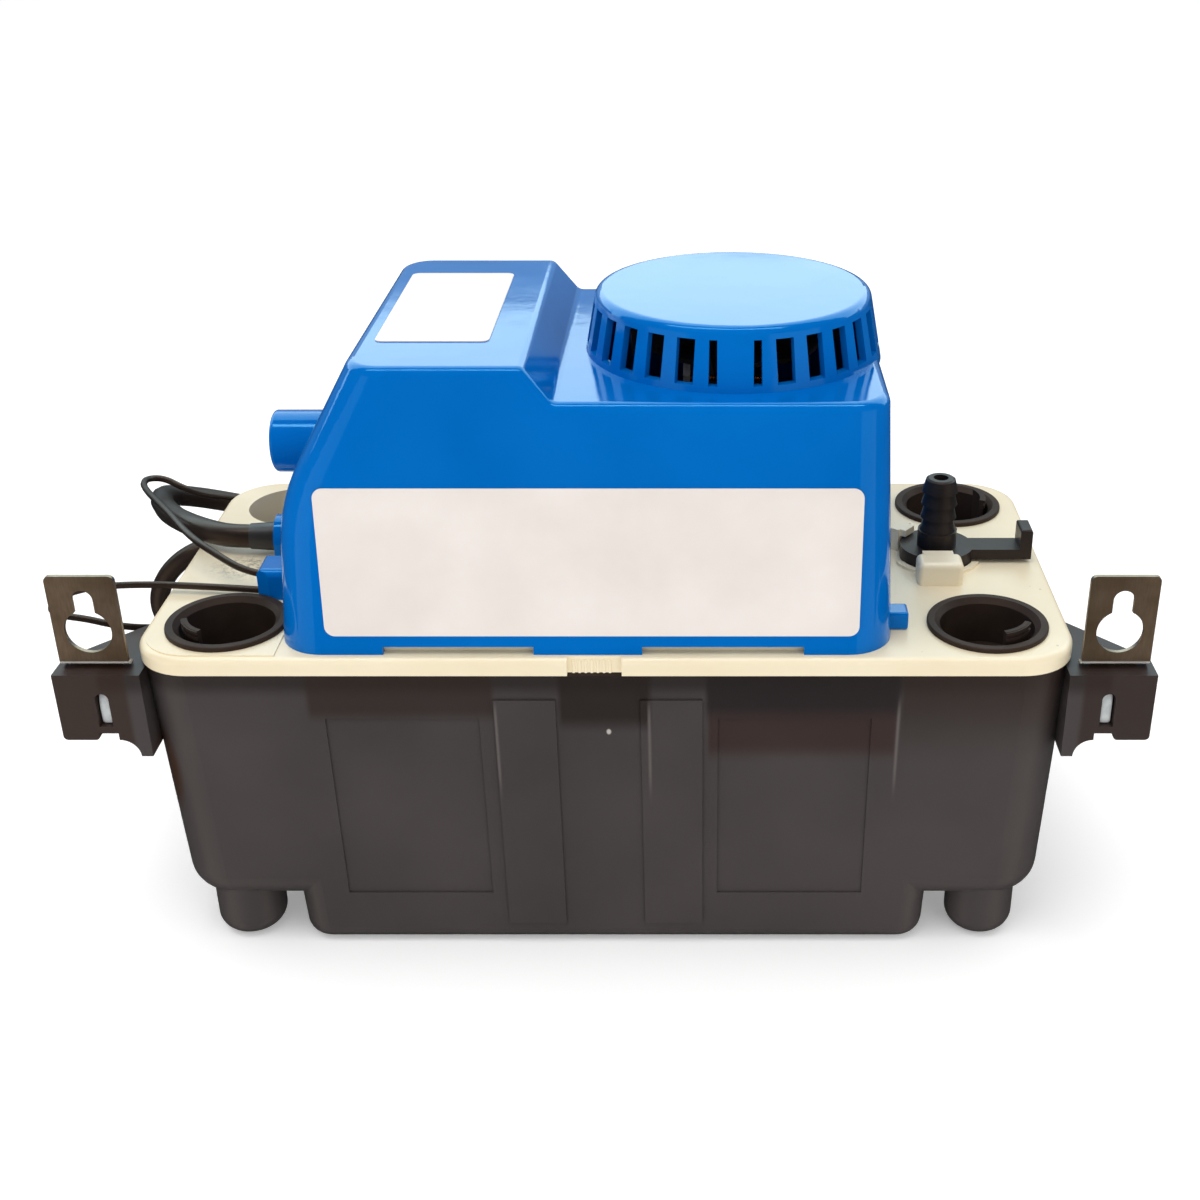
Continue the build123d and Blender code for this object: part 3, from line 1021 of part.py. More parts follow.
def check_ball():
    """Ball that stops water running back."""
    rise = sqrt(BALL_R ** 2 - SEAT_R ** 2) + 0.1
    return Pos(VALVE_X, VALVE_Y, VALVE_SEAT_Z + rise) * Sphere(BALL_R)


# ---- float and switches ---------------------------------------------------------------------------------------------
def bracket_screw_places():
    """X of the two screws in the switch bracket's foot."""
    return [SWITCH_X - SWITCH_SCREW_SPACING / 2, SWITCH_X + SWITCH_SCREW_SPACING / 2]


def float_bracket():
    """Yoke under the lid that holds the float's pivot pin."""
    inner = HUB_HALF + 0.3
    outer = inner + CHEEK
    yoke = block((PIVOT_X - 5, PIVOT_X + 7), (-outer, outer), (LID_UNDER - 1.6, LID_UNDER))
    for sy in (-1, 1):
        low, high = sorted((sy * inner, sy * outer))
        yoke = yoke + block((PIVOT_X - 5, PIVOT_X + 7), (low, high), (PIVOT_Z, LID_UNDER))
        eye = Pos(PIVOT_X, (low + high) / 2, PIVOT_Z) * Rot(90, 0, 0) * Cylinder(5, CHEEK)
        yoke = yoke + eye
    bore = Pos(PIVOT_X, 0, PIVOT_Z) * Rot(90, 0, 0) * Cylinder(PIN_R, 3 * outer)
    return yoke - bore


def float_pivot_pin():
    """Headed pin through the yoke."""
    outer = HUB_HALF + 0.3 + CHEEK
    pin = Pos(PIVOT_X, 0, PIVOT_Z) * Rot(90, 0, 0) * Cylinder(PIN_R, 2 * outer + 1.0)
    head = Pos(PIVOT_X, -outer - 0.5, PIVOT_Z) * Rot(90, 0, 0) * Cylinder(PIN_R + 1.2, 1.0)
    return pin + head


def float_arm():
    """Hub on the pin, a pad under the two rods and an arm down to the float."""
    hub = Pos(PIVOT_X, 0, PIVOT_Z) * Rot(90, 0, 0) * Cylinder(HUB_R, 2 * HUB_HALF)
    pad = block((PIVOT_X - PAD_REACH, PIVOT_X), (-HUB_HALF, HUB_HALF), (PIVOT_Z - 1.5, PIVOT_Z + PAD_TOP))
    pad = pad - block((PIVOT_X - PAD_REACH + 3, PIVOT_X - HUB_R - 2), (-1.5, 1.5),
                      (PIVOT_Z - 5, PIVOT_Z + 5))
    x, z = FLOAT_MIDDLE
    top = z + FLOAT_SIZE[2] / 2
    start_x = PIVOT_X - PAD_REACH + 2.5
    web = make_face(Polyline((start_x - 2.5, PIVOT_Z + PAD_TOP), (start_x + 4, PIVOT_Z - 1.5),
                             (x + 9, top + 2.0), (x + 9, top), (x - 9, top), (x - 9, top + 2.0),
                             (x + 1, top + 3.0), close=True))
    arm = extrude(Plane.XZ * web, amount=2.5, both=True)
    bore = Pos(PIVOT_X, 0, PIVOT_Z) * Rot(90, 0, 0) * Cylinder(PIN_R + RUN_GAP, 4 * HUB_HALF)
    stake = Pos(x, 0, top) * Box(10, 5, 4)
    return hub + pad + arm + stake - bore


def float_block():
    """Hollow float under the arm."""
    x, z = FLOAT_MIDDLE
    outer = fillet(Box(*FLOAT_SIZE).edges(), 3.0)
    inner = Box(*[size - 4.0 for size in FLOAT_SIZE])
    socket = Pos(0, 0, FLOAT_SIZE[2] / 2) * Box(10, 5, 4)
    return Pos(x, 0, z) * (outer - inner + (Pos(0, 0, FLOAT_SIZE[2] / 2 - 3) * Box(14, 9, 6)
                                            & Box(*FLOAT_SIZE)) - socket)


def pushrod(place):
    """Rod that carries the float's motion up to a switch."""
    x, y = place
    stem = rod(ROD_R, ROD_BOTTOM, SWITCH_BOTTOM + ROD_ENTRY, x, y)
    stem = fillet(stem.edges().filter_by(GeomType.CIRCLE), ROD_R - 0.1)
    collar = rod(ROD_COLLAR_R, BUSH_TOP + 0.1, BUSH_TOP + 1.6, x, y)
    return stem + collar


def micro_switch(place):
    """Switch body with a guide hole for its rod and two cross holes for screws."""
    x, y = place
    length, width, height = SWITCH_SIZE
    body = Pos(SWITCH_X, y, SWITCH_BOTTOM + height / 2) * Box(length, width, height)
    body = fillet(body.edges().filter_by(Axis.Y), 0.8)
    body = body - rod(ROD_R + ROD_GAP, SWITCH_BOTTOM, SWITCH_BOTTOM + SWITCH_HOLE_DEPTH, x, y)
    for sx in (-1, 1):
        body = body - Pos(SWITCH_X + sx * SWITCH_SCREW_SPACING / 2, y, SWITCH_SCREW_Z) * Rot(
            90, 0, 0) * Cylinder(SWITCH_SCREW_R, 2 * width)
    return body


def switch_terminals():
    """Spade terminals on top of the two switches."""
    blades = []
    for y in (RUN_ROD[1], OVERFLOW_ROD[1]):
        for i in (-1, 0, 1):
            x = SWITCH_X + TERMINAL_PITCH * i
            blades.append(Pos(x, y, SWITCH_TOP + TERMINAL[2] / 2) * Box(*TERMINAL))
    return group(blades)


def switch_bracket():
    """Steel angle that stands on the lid and carries both switches."""
    half = SWITCH_SIZE[0] / 2 + PLATE_MARGIN
    plate = block((SWITCH_X - half, SWITCH_X + half), (SWITCH_PLATE_Y, SWITCH_PLATE_Y + PLATE_THICK),
                  (LID_TOP, SWITCH_TOP))
    foot = block((SWITCH_X - half, SWITCH_X + half), (SWITCH_PLATE_Y, SWITCH_PLATE_Y + FOOT_DEPTH),
                 (LID_TOP, LID_TOP + PLATE_THICK))
    bracket = plate + foot
    for sx in (-1, 1):
        x = SWITCH_X + sx * SWITCH_SCREW_SPACING / 2
        bracket = bracket - Pos(x, SWITCH_PLATE_Y, SWITCH_SCREW_Z) * Rot(90, 0, 0) * Cylinder(
            SWITCH_SCREW_R, 4 * PLATE_THICK)
    for x in bracket_screw_places():
        bracket = bracket - rod(SCREW_R, LID_TOP, LID_TOP + PLATE_THICK, x, FOOT_SCREW_Y)
    return bracket


def switch_screws():
    """Two long screws through both switches into the bracket."""
    front = RUN_ROD[1] - SWITCH_SIZE[1] / 2
    back = SWITCH_PLATE_Y + PLATE_THICK + 1.0
    screws = []
    for sx in (-1, 1):
        x = SWITCH_X + sx * SWITCH_SCREW_SPACING / 2
        shank = Pos(x, (front + back) / 2, SWITCH_SCREW_Z) * Rot(90, 0, 0) * Cylinder(SWITCH_SCREW_R, back - front)
        head_r, head_height = SWITCH_SCREW_HEAD
        head = Pos(x, front - head_height / 2, SWITCH_SCREW_Z) * Rot(90, 0, 0) * Cylinder(head_r, head_height)
        screws.append(shank + head)
    return group(screws)


def bracket_screws():
    """Two screws that hold the switch bracket to the lid."""
    top = LID_TOP + PLATE_THICK
    return group([rod(SCREW_R, LID_UNDER + 0.2, top, x, FOOT_SCREW_Y)
                  + rod(SCREW_HEAD_R, top, top + SCREW_HEAD, x, FOOT_SCREW_Y)
                  for x in bracket_screw_places()])


# ---- cords ------------------------------------------------------------------------------------------------------------
def cord_path(route):
    """Straight runs joined by arcs as large as the runs allow."""
    points = [Vector(*p) for p in route]
    radii = []
    for before, here, after in zip(points, points[1:], points[2:]):
        arrive, leave = here - before, after - here
        turn = radians(arrive.get_angle(leave))
        radii.append(0.45 * min(arrive.length, leave.length) / tan(turn / 2))
    print("cord radii:", [round(r, 1) for r in radii])
    return FilletPolyline(*points, radius=radii)


def cord_tube(route, radius):
    """Round cord along its route."""
    path = cord_path(route)
    section = Plane(origin=path @ 0, z_dir=path % 0) * Circle(radius)
    solid = sweep(section, path=path)
    print("cord length", round(path.length, 1), "volume share", round(solid.volume / (pi * radius ** 2 * path.length), 4))
    return solid


def coil_ring(middle, mid_r, radius, columns, layers):
    """Outer shape of a round coil that lies on the ground."""
    half = columns * radius
    return tube(mid_r + half, mid_r - half, 0, 2 * radius * layers, *middle)


def mains_strain_relief():
    """Tapered sleeve where the mains cord leaves the cover."""
    tip = MAINS_ROUTE[0][0]
    sleeve = Pos((tip + MAINS_HOOD_X) / 2, MAINS_Y, MAINS_Z) * Rot(0, -90, 0) * Cone(
        RELIEF_R[0], RELIEF_R[1], MAINS_HOOD_X - tip)
    inner = COVER_LEFT + 2 * COVER_WALL
    body = Pos((MAINS_HOOD_X + inner) / 2, MAINS_Y, MAINS_Z) * Rot(0, 90, 0) * Cylinder(
        RELIEF_R[0], inner - MAINS_HOOD_X)
    return sleeve + body


def mains_plug():
    """Moulded plug body with a ribbed neck, lying on the ground."""
    x, y, z = MAINS_TAIL[-1]
    length, width, height = PLUG_BODY
    neck_length, neck_r = PLUG_NECK
    neck = Pos(x + neck_length / 2, y, z) * Rot(0, 90, 0) * Cylinder(neck_r, neck_length)
    body = Pos(x + neck_length + length / 2, y, z) * Box(length, width, height)
    body = fillet(body.edges().filter_by(Axis.X), 5.0)
    body = fillet(body.faces().sort_by(Axis.X)[0].edges(), 3.0)
    return neck + body


def mains_plug_blades():
    """Two flat blades and the round earth pin."""
    x, y, z = MAINS_TAIL[-1]
    face = x + PLUG_NECK[0] + PLUG_BODY[0]
    blades = []
    for sy in (-1, 1):
        middle = y + sy * BLADE_SPACING / 2
        blades.append(block((face, face + BLADE[0]), (middle - BLADE[1] / 2, middle + BLADE[1] / 2),
                            (z - BLADE[2] / 2 - 2.5, z + BLADE[2] / 2 - 2.5)))
    pin_z = z + 4.6
    pin = Pos(face + BLADE[0] / 2 + 1.5, y, pin_z) * Rot(0, 90, 0) * Cylinder(EARTH_PIN_R, BLADE[0] + 3)
    return group(blades + [pin])


def build():
    """Every node of the pump, by name."""
    right_bracket = hanger_bracket()
    mains_coil = coil_ring(COIL_MIDDLE, COIL_MID_R, MAINS_R, COIL_COLUMNS, COIL_LAYERS)
    parts = {
        "tank": tank(),
        "tank_gasket": tank_gasket(),
        "tank_lid": tank_lid(),
        "hanger_bracket_right": right_bracket,
        "hanger_bracket_left": mirrored(right_bracket),
        "motor_cover": motor_cover(),
        "front_label": front_label(),
        "top_label": top_label(),
        "motor_standoffs": motor_standoffs(),
        "lower_bearing_bracket": bearing_bracket(upper=False),
        "upper_bearing_bracket": bearing_bracket(upper=True),
        "motor_bearings": motor_bearings(),
        "motor_stator": motor_stator(),
        "motor_coil": motor_coil(),
        "coil_bobbin": coil_bobbin(),
        "motor_screws": motor_screws(),
        "motor_shaft": motor_shaft(),
        "rotor_core": rotor_core(),
        "cooling_fan": cooling_fan(),
        "water_slinger": water_slinger(),
        "pump_column": pump_column(),
        "volute_housing": volute_housing(),
        "volute_plate": volute_plate(),
        "volute_screws": volute_screws(),
        "inlet_strainer": inlet_strainer(),
        "impeller": impeller(),
        "discharge_tube": discharge_tube(),
        "check_valve": check_valve(),
        "check_valve_seal": check_valve_seal(),
        "check_ball": check_ball(),
        "float_bracket": float_bracket(),
        "float_pivot_pin": float_pivot_pin(),
        "float_arm": float_arm(),
        "float_block": float_block(),
        "run_pushrod": pushrod(RUN_ROD),
        "overflow_pushrod": pushrod(OVERFLOW_ROD),
        "run_switch": micro_switch(RUN_ROD),
        "overflow_switch": micro_switch(OVERFLOW_ROD),
        "switch_terminals": switch_terminals(),
        "switch_bracket": switch_bracket(),
        "switch_screws": switch_screws(),
        "bracket_screws": bracket_screws(),
        "inlet_plug_front_left": inlet_plug(-INLET_X, -INLET_Y, TAB_TURNS[0]),
        "inlet_plug_front_right": inlet_plug(INLET_X, -INLET_Y, TAB_TURNS[1]),
        "inlet_plug_back_right": inlet_plug(INLET_X, INLET_Y, TAB_TURNS[2]),
        "mains_strain_relief": mains_strain_relief(),
        "mains_cord": cord_tube(MAINS_ROUTE, MAINS_R) - mains_coil,
        "mains_cord_coil": mains_coil,
        "mains_cord_tail": cord_tube(MAINS_TAIL, MAINS_R) - mains_coil,
        "mains_plug": mains_plug(),
        "mains_plug_blades": mains_plug_blades(),
    }
    for name, route in (("a", LEAD_A_ROUTE), ("b", LEAD_B_ROUTE)):
        coil = coil_ring(LEAD_COIL_MIDDLES[name], LEAD_COIL_MID_R, LEAD_R, LEAD_COIL_COLUMNS, LEAD_COIL_LAYERS)
        parts[f"switch_lead_{name}"] = cord_tube(route, LEAD_R) - coil
        parts[f"switch_lead_{name}_coil"] = coil
    return parts


os.makedirs("parts", exist_ok=True)
for node, shape in build().items():
    export_step(shape, f"parts/{node}.step")
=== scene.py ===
"""Dresses a packed condensate pump: finishes on its parts, its cords, and the small pieces on them.

Blender's world is in metres. Sizes here are in millimetres, and MM scales them where a mesh is made.
X runs along the tank, Y from the labelled front to the back, Z is up. The origin is the middle of
the pump's footprint, on the surface that it stands on.
"""
from __future__ import annotations

import json
import logging
import math
from collections.abc import Iterable, Sequence
from dataclasses import dataclass, field
from enum import Enum
from typing import Any

import bmesh
import bpy
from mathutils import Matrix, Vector

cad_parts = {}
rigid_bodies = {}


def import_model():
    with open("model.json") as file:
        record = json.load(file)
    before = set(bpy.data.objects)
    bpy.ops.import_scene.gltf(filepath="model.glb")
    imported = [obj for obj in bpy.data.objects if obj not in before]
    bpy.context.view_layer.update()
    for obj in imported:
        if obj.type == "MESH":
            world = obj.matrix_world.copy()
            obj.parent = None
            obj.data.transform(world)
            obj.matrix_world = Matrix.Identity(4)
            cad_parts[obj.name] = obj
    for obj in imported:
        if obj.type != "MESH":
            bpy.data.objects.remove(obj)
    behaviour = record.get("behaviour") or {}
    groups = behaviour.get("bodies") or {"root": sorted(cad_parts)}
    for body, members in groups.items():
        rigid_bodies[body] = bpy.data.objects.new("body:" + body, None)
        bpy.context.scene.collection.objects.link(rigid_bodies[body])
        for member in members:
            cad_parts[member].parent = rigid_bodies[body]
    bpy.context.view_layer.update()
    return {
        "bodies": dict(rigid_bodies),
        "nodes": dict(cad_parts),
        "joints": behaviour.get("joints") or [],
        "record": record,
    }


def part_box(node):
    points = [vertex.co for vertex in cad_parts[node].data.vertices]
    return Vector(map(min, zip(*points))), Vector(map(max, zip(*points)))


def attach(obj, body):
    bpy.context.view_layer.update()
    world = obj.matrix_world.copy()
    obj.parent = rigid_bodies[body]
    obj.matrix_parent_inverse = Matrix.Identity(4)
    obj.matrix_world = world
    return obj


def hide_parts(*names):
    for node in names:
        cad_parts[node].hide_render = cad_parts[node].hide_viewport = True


log = logging.getLogger("condensate_pump")

MM = 0.001
WHITE, COOL_WHITE, WARM_WHITE = "#FFFFFF", "#DDF7FF", "#FFF1E2"
NOISE_SPAN = {"From Min": 0.3, "From Max": 0.7}   # nearly all of a noise texture's values
Point = tuple[float, float, float]
Edges = tuple[float, float, float, float]         # where a band begins, is full, ends being full, is gone
Socket = bpy.types.NodeSocket
Tree = bpy.types.NodeTree


# ---- small tools ------------------------------------------------------------------------------
def linear(code: str) -> tuple[float, float, float, float]:
    """Turns an sRGB hex colour into the linear one that a shader takes.

    Args:
        code: the colour as "#RRGGBB".

    Returns:
        Linear red, green and blue, and an alpha of 1.
    """
    channels = [int(code[place:place + 2], 16) / 255 for place in (1, 3, 5)]
    # the numbers are those of the sRGB standard's curve
    red, green, blue = (c / 12.92 if c <= 0.04045 else ((c + 0.055) / 1.055) ** 2.4 for c in channels)
    return red, green, blue, 1.0


def per_metre(size: float) -> float:
    """The scale of a pattern whose features are size millimetres across."""
    return 1 / (size * MM)


def add_node(tree: Tree, kind: str, inputs: dict[str | int, Any] | None = None,
             **settings: Any) -> bpy.types.Node:
    """Adds one node with its settings, its values and its links.

    Args:
        tree: the node tree that the node goes into.
        kind: the node's type name.
        inputs: what each input holds, by name or number: a value, or the socket that feeds it.
        **settings: the node's own properties.

    Returns:
        The new node.
    """
    node = tree.nodes.new(kind)
    for name, value in settings.items():
        setattr(node, name, value)
    connect(tree, node, inputs or {})
    return node


def connect(tree: Tree, node: bpy.types.Node, inputs: dict[str | int, Any]) -> None:
    """Gives a node's inputs their values and links.

    Args:
        tree: the node tree that the node is in.
        node: the node.
        inputs: what each input holds, by name or number: a value, or the socket that feeds it.
    """
    for key, value in inputs.items():
        if isinstance(value, Socket):
            tree.links.new(value, node.inputs[key])
        else:
            node.inputs[key].default_value = value


def in_metres(points: Iterable[Sequence[float]]) -> list[Vector]:
    """Points in millimetres as vectors in metres."""
    return [Vector(point) * MM for point in points]


def placed(name: str, shape: bpy.types.ID) -> bpy.types.Object:
    """Puts a mesh, curve, light or camera in the scene, as an object at the origin.

    Args:
        name: the object's name.
        shape: what it holds.

    Returns:
        The new object.
    """
    piece = bpy.data.objects.new(name, shape)
    bpy.context.scene.collection.objects.link(piece)
    return piece


def mesh_object(name: str, shape: bmesh.types.BMesh, finish: bpy.types.Material) -> bpy.types.Object:
    """Makes a shape into an object at the origin, with its faces pointing outwards.

    Args:
        name: the piece's name.
        shape: the shape, in metres; it is freed.
        finish: its material.

    Returns:
        The new object, linked to the scene.
    """
    bmesh.ops.remove_doubles(shape, verts=shape.verts, dist=1e-7)
    bmesh.ops.recalc_face_normals(shape, faces=shape.faces)
    mesh = bpy.data.meshes.new(name)
    shape.to_mesh(mesh)
    shape.free()
    mesh.materials.append(finish)
    return placed(name, mesh)


def smooth(piece: bpy.types.Object, angle: float = 35.0) -> bpy.types.Object:
    """Shades a mesh smooth, but for its sharp edges.

    Args:
        piece: the mesh object.
        angle: edges that turn by more than this stay sharp, in degrees.

    Returns:
        The same object.
    """
    for polygon in piece.data.polygons:
        polygon.use_smooth = True
    piece.data.set_sharp_from_angle(angle=math.radians(angle))
    return piece


def join_rings(shape: bmesh.types.BMesh, rings: Sequence[Sequence[bmesh.types.BMVert]]) -> None:
    """Lays a wall of faces from each ring of corners to the next.

    Args:
        shape: the shape that the corners are in.
        rings: rings with as many corners each.
    """
    count = len(rings[0])
    for ring, after in zip(rings, rings[1:]):
        for step in range(count):
            beside = (step + 1) % count
            shape.faces.new((ring[step], ring[beside], after[beside], after[step]))


def lathe(name: str, profile: Sequence[tuple[float, float]], start: Sequence[float],
          along: Sequence[float], finish: bpy.types.Material, steps: int = 32) -> bpy.types.Object:
    """Turns a closed outline round an axis.

    Args:
        name: the piece's name.
        profile: distance along the axis and radius of each corner, in millimetres; an outline that
            starts and ends on the axis closes itself.
        start: where the axis begins, in millimetres.
        along: the axis's direction.
        finish: the piece's material.
        steps: faces round the axis.

    Returns:
        The new object.
    """
    shape = bmesh.new()
    turn = Vector((0, 0, 1)).rotation_difference(Vector(along).normalized()).to_matrix()
    rings = []
    for distance, radius in profile:
        angles = (math.tau * step / steps for step in range(steps))
        rings.append([shape.verts.new((Vector(start) + turn @ Vector((
            radius * math.cos(angle), radius * math.sin(angle), distance))) * MM) for angle in angles])
    join_rings(shape, rings)
    bmesh.ops.dissolve_degenerate(shape, dist=1e-7, edges=shape.edges)
    return smooth(mesh_object(name, shape, finish))


def keep(piece: bpy.types.Object) -> bpy.types.Object:
    """Rides a new piece on the pump's base and reports it.

    Args:
        piece: the piece.

    Returns:
        The same piece.
    """
    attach(piece, "base")
    log.info("made %s", piece.name)
    return piece


# ---- finishes ---------------------------------------------------------------------------------
class Axis(Enum):
    """The axis that a pattern changes along."""

    X = "X"
    Z = "Z"


@dataclass(frozen=True)
class Coating:
    """One material's nodes, and the patterns that its finish is made of."""

    tree: Tree
    shader: bpy.types.Node
    place: Socket                 # Object coordinates, metres

    def feed(self, inputs: dict[str, Any]) -> None:
        """Gives the shader's inputs their values and links."""
        connect(self.tree, self.shader, inputs)

    def mottle(self, size: float, light: str, dark: str) -> Socket:
        """Two shades in soft patches.

        Args:
            size: the patches' size in millimetres.
            light: the shade of the high patches.
            dark: the shade of the low patches.

        Returns:
            The colour socket.
        """
        noise = add_node(self.tree, "ShaderNodeTexNoise", {
            "Vector": self.place, "Scale": per_metre(size), "Detail": 4.0})
        ramp = add_node(self.tree, "ShaderNodeValToRGB", {"Fac": noise.outputs["Fac"]})
        for end, position, shade in zip(ramp.color_ramp.elements, (0.35, 0.65), (dark, light)):
            end.position, end.color = position, linear(shade)
        return ramp.outputs["Color"]

    def swing(self, size: float, middle: float, spread: float) -> Socket:
        """A value that wanders about its middle.

        Args:
            size: the size of its patches in millimetres.
            middle: the usual value.
            spread: how far it goes from that.

        Returns:
            The value socket.
        """
        noise = add_node(self.tree, "ShaderNodeTexNoise", {
            "Vector": self.place, "Scale": per_metre(size), "Detail": 3.0})
        return add_node(self.tree, "ShaderNodeMapRange", {
            "Value": noise.outputs["Fac"], **NOISE_SPAN,
            "To Min": middle - spread, "To Max": middle + spread}).outputs["Result"]

    def grained(self, size: float, depth: float) -> Socket:
        """Fine grain over the whole surface, as a normal.

        Args:
            size: the grain's size in millimetres.
            depth: its height in millimetres.

        Returns:
            The normal socket.
        """
        noise = add_node(self.tree, "ShaderNodeTexNoise", {
            "Vector": self.place, "Scale": per_metre(size), "Detail": 2.0})
        return self.raised(noise.outputs["Fac"], depth)

    def raised(self, height: Socket, depth: float) -> Socket:
        """The normal of a pattern that stands up by depth millimetres."""
        return add_node(self.tree, "ShaderNodeBump", {
            "Height": height, "Strength": 1.0, "Distance": depth * MM}).outputs["Normal"]

    def spot(self, middle: Point, reach: Point, edge: float) -> Socket:
        """A soft mask round one place.

        Args:
            middle: the mask's middle in millimetres.
            reach: its half sizes in millimetres.
            edge: share of the reach at which it begins to fade.

        Returns:
            A value of 1 inside and 0 outside.
        """
        offset = add_node(self.tree, "ShaderNodeVectorMath", {
            0: self.place, 1: tuple(c * MM for c in middle)}, operation="SUBTRACT")
        scaled = add_node(self.tree, "ShaderNodeVectorMath", {
            0: offset.outputs["Vector"], 1: tuple(1 / (r * MM) for r in reach)}, operation="MULTIPLY")
        far = add_node(self.tree, "ShaderNodeVectorMath", {0: scaled.outputs["Vector"]}, operation="LENGTH")
        return add_node(self.tree, "ShaderNodeMapRange", {
            "Value": far.outputs["Value"], "From Min": edge, "From Max": 1.0, "To Min": 1.0, "To Max": 0.0},
            interpolation_type="SMOOTHSTEP").outputs["Result"]

    def fade(self, axis: Axis, start: float, end: float) -> Socket:
        """A value that rises from 0 to 1 between two places along an axis.

        Args:
            axis: the axis.
            start: where it is still 0, in millimetres.
            end: where it has reached 1, in millimetres.

        Returns:
            The value socket.
        """
        parts = add_node(self.tree, "ShaderNodeSeparateXYZ", {"Vector": self.place})
        return add_node(self.tree, "ShaderNodeMapRange", {
            "Value": parts.outputs[axis.value], "From Min": start * MM, "From Max": end * MM},
            interpolation_type="SMOOTHSTEP").outputs["Result"]

    def band(self, axis: Axis, edges: Edges) -> Socket:
        """A value of 1 in a band along an axis, with soft edges.

        Args:
            axis: the axis.
            edges: where it begins, is full, ends being full and is gone, in millimetres.

        Returns:
            The value socket.
        """
        begins, full, ends, gone = edges
        return add_node(self.tree, "ShaderNodeMath", {
            0: self.fade(axis, begins, full), 1: self.fade(axis, gone, ends)},
            operation="MULTIPLY").outputs["Value"]

    def stained(self, under: Any, shade: str, *masks: Any) -> Socket:
        """Lays a shade over a colour where every mask lets it.

        Args:
            under: the colour beneath.
            shade: the colour that is laid on, as "#RRGGBB".
            *masks: values from 0 to 1, whose product is the shade's share.

        Returns:
            The colour socket.
        """
        share = masks[0]
        for mask in masks[1:]:
            share = add_node(self.tree, "ShaderNodeMath", {0: share, 1: mask},
                             operation="MULTIPLY").outputs["Value"]
        return add_node(self.tree, "ShaderNodeMix", {0: share, 6: under, 7: linear(shade)},
                        data_type="RGBA").outputs[2]


class Finish:
    """A surface finish that makes its own material."""

    name: str

    def make(self) -> bpy.types.Material:
        """Builds the material.

        Returns:
            The material, with its shader fed.
        """
        material = bpy.data.materials.new(self.name)
        material.use_nodes = True
        tree = material.node_tree
        tree.nodes.clear()
        shader = add_node(tree, "ShaderNodeBsdfPrincipled")
        add_node(tree, "ShaderNodeOutputMaterial", {"Surface": shader.outputs["BSDF"]})
        self.cover(Coating(tree, shader, add_node(tree, "ShaderNodeTexCoord").outputs["Object"]))
        return material

    def cover(self, coating: Coating) -> None:
        """Feeds the shader with what is this finish's own."""
        raise NotImplementedError


@dataclass(frozen=True)
class Moulding(Finish):
    """Moulded plastic or rubber: soft shades from the flow, and the tool's own fine texture."""

    name: str
    light: str
    dark: str
    roughness: float
    patch: float = 30.0          # size of the shade patches, mm
    wander: float = 0.05         # how far the roughness wanders
    grain: float = 0.6           # size of the tool's texture, mm
    depth: float = 0.01          # its height, mm
    ior: float = 1.5
    specular: float = 0.5
    gloss_tint: str = WHITE      # colour of what the surface reflects

    def colour(self, coating: Coating) -> Socket:
        """The colour over the surface."""
        return coating.mottle(self.patch, self.light, self.dark)

    def cover(self, coating: Coating) -> None:
        """Feeds the shader with the moulding's colour, sheen and grain.

        Args:
            coating: the material's nodes.
        """
        coating.feed({
            "Base Color": self.colour(coating),
            "Roughness": coating.swing(self.patch / 2, self.roughness, self.wander),
            "Normal": coating.grained(self.grain, self.depth),
            "IOR": self.ior,
            "Specular IOR Level": self.specular,
            "Specular Tint": linear(self.gloss_tint)})


@dataclass(frozen=True)
class PaintedShadePatch:
    """A patch of painted shade and reflection high on the tank: darker and browner where the satin surface
    would reflect dark surroundings and the lid throws shade.
    """

    left: float                  # mm along X
    right: float
    low: float                   # height at which it has faded out
    full: float                  # height at which it is at its darkest
    shade: str
    strength: float


